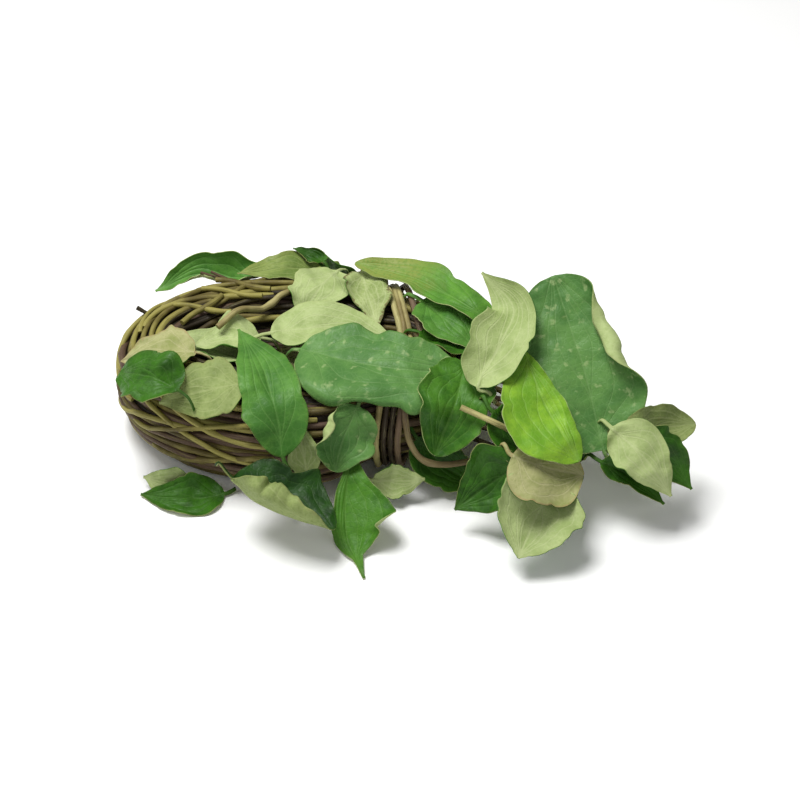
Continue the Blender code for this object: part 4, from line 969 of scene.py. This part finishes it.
# The leaf under the others here has the dark face, partly a painted shade for the shade it lies in under the
# leaves above.
grow_leaf(
    "leaf_right_under", DARK, [(42, -22, 34), (47, -27, 28), (68, -33, 15), (98, -30, 5)],
    ((0, -0.5, 0.85), (0, -0.2, 1)), 48, phase=2.3, outline=BROAD)
grow_leaf(
    "leaf_right_big", BLUE_GREEN, [(108, -44, 10), (103, -42, 17), (94, -10, 42), (79, 29, 74)],
    (-0.1, -0.62, 0.75), 66, fold=6, curl=(10, 0, -20, -10), rows=13, outline=BLUNT, halves=(1.0, 1.15),
    roll=(170, 0, 0.72, 0.42), rolled_over=(240, 0, 0.66, 0.5))
grow_leaf(
    "leaf_front_right_dark", DARK, [(66, -56, 28), (62, -60, 23), (46, -66, 14), (27, -76, 4)],
    (0, -0.7, 0.7), 40, dents=0.8, bends=1.2)
grow_leaf(
    "leaf_front_right_tip", PALE, [(81, -58, 16), (78, -66, 13), (69, -82, 8), (58, -109, 2)],
    (0.1, -0.4, 0.9), 50, phase=0.2, outline=BROAD, tail=0.05)
grow_leaf(
    "leaf_front_right_pale", TAN, [(52, -56, 31), (56, -61, 28), (72, -65, 24), (93, -64, 17)],
    (0, -0.6, 0.8), 40, phase=1.3, outline=BROAD, halves=(1.25, 0.75), dents=0.7, bends=1.2)
grow_leaf(
    "leaf_right_lime", LIME, [(60, 0, 56), (63, -8, 54), (74, -37, 40), (90, -62, 25)], (0.1, -0.65, 0.75),
    44, rows=11, outline=LATE, halves=(1.3, 0.45), dents=0.6, ragged=0.1)
grow_leaf(
    "leaf_right_folded", PALE, [(44, -20, 36), (39, -23, 43), (50, -8, 57), (58, 12, 67), (42, 30, 76)],
    (-0.3, -0.8, 0.5), 36, rows=11, dents=0.7)
grow_leaf(
    "leaf_end_under", DARK, [(97, -44, 14), (102, -47, 12), (119, -55, 8), (134, -70, 3)], (0, -0.5, 0.85),
    17)
grow_leaf(
    "leaf_end_far_pale", DULL, [(109, -42, 31), (114, -44, 32), (129, -42, 30), (153, -34, 26)],
    (0, -0.5, 0.85), 25, outline=BROAD, dents=0.3, bends=0.5, ragged=0.05)
grow_leaf(
    "leaf_end_dark", DARK, [(116, -40, 31), (121, -44, 28), (135, -51, 18), (149, -61, 5)], (0.3, -0.6, 0.7),
    25)
grow_leaf(
    "leaf_end_pale", PALE, [(103, -37, 31), (107, -42, 30), (122, -52, 20), (137, -67, 6)], (0, -0.6, 0.8),
    31)


# The leaves behind, where the photograph doesn't reach: the same kinds, hanging off the back to the surface.
grow_leaf(
    "leaf_rear_end", PALE, [(-116, 50, 24), (-122, 52, 20), (-136, 54, 12), (-151, 50, 4)],
    ((-0.4, 0.7, 0.6), (-0.6, 0.6, 0.4)), 34, phase=0.9, lift=REAR)
grow_leaf(
    "leaf_rear_left", GREEN, [(-84, 60, 40), (-90, 66, 34), (-102, 80, 18), (-120, 92, 3)],
    ((0, 0.7, 0.7), (0, 0.4, 0.9)), 42, curl=(30, 50, 10, 30), lift=REAR)
grow_leaf(
    "leaf_rear_across", PALE, [(-14, 58, 40), (-22, 62, 36), (-46, 68, 30), (-72, 70, 26)],
    ((0, 0.7, 0.7), (0, 0.8, 0.6)), 40, curl=(10, 20, -20, -20), phase=2.1, lift=REAR)
grow_leaf(
    "leaf_rear_low", DARK, [(-66, 66, 26), (-62, 72, 20), (-50, 84, 10), (-34, 96, 3)],
    ((0, 0.5, 0.8), (0, 0.2, 1)), 44, curl=(40, 20, 20, 60), phase=1.5, lift=REAR)
grow_leaf(
    "leaf_rear_waist", BLUE_GREEN, [(-2, 56, 46), (2, 62, 40), (8, 78, 22), (22, 90, 6)],
    ((0.2, 0.8, 0.6), (0.1, 0.6, 0.8)), 40, curl=(20, 60, 20, 20), lift=REAR)
grow_leaf(
    "leaf_rear_right", GREEN, [(34, 38, 42), (41, 44, 38), (58, 56, 26), (80, 74, 12)],
    ((0, 0.6, 0.8), (0.3, 0.5, 0.8)), 48, curl=(-20, 20, 20, 60), lift=REAR)
grow_leaf(
    "leaf_rear_right_low", PALE, [(58, 18, 16), (67, 24, 14), (86, 38, 9), (110, 54, 3)],
    ((0, 0.3, 1), (0.2, 0.2, 1)), 42, curl=(30, 20, 20, 50), phase=0.6, lift=UP)


# The floor is plain and pale, and the light is soft and even, from large panels above, in front and at the
# left.
floor_mesh = bpy.data.meshes.new("floor")
floor_mesh.from_pydata([(-4, -4, 0), (4, -4, 0), (4, 4, 0), (-4, 4, 0)], [], [(0, 1, 2, 3)])
floor = place_object("floor", floor_mesh)
paper, paper_shader = new_material("pale paper")
paper_shader.inputs["Base Color"].default_value = (0.97, 0.97, 0.96, 1.0)
paper_shader.inputs["Roughness"].default_value = 0.9
floor_mesh.materials.append(paper)
LIT_POINT = Vector((0.0, 0.0, 0.03))


def panel(name, place, size, power):
    """A soft square light that faces the bunch."""
    light = bpy.data.lights.new(name, "AREA")
    light.shape = "SQUARE"
    light.size = size
    light.energy = power
    lamp = place_object(name, light)
    lamp.location = place
    lamp.rotation_euler = (LIT_POINT - Vector(place)).to_track_quat("-Z", "Y").to_euler()


panel("top_light", (-0.35, 0.1, 1.3), 0.6, 20.0)
panel("front_light", (0.4, -1.4, 0.9), 0.8, 3.0)
panel("left_light", (-1.3, -0.2, 0.8), 0.8, 3.0)
world = bpy.data.worlds.new("studio")
bpy.context.scene.world = world
world.use_nodes = True
sky = world.node_tree.nodes["Background"]
sky.inputs["Color"].default_value = (1.0, 1.0, 1.0, 1.0)
sky.inputs["Strength"].default_value = 0.25
bpy.context.scene.view_settings.view_transform = "Standard"
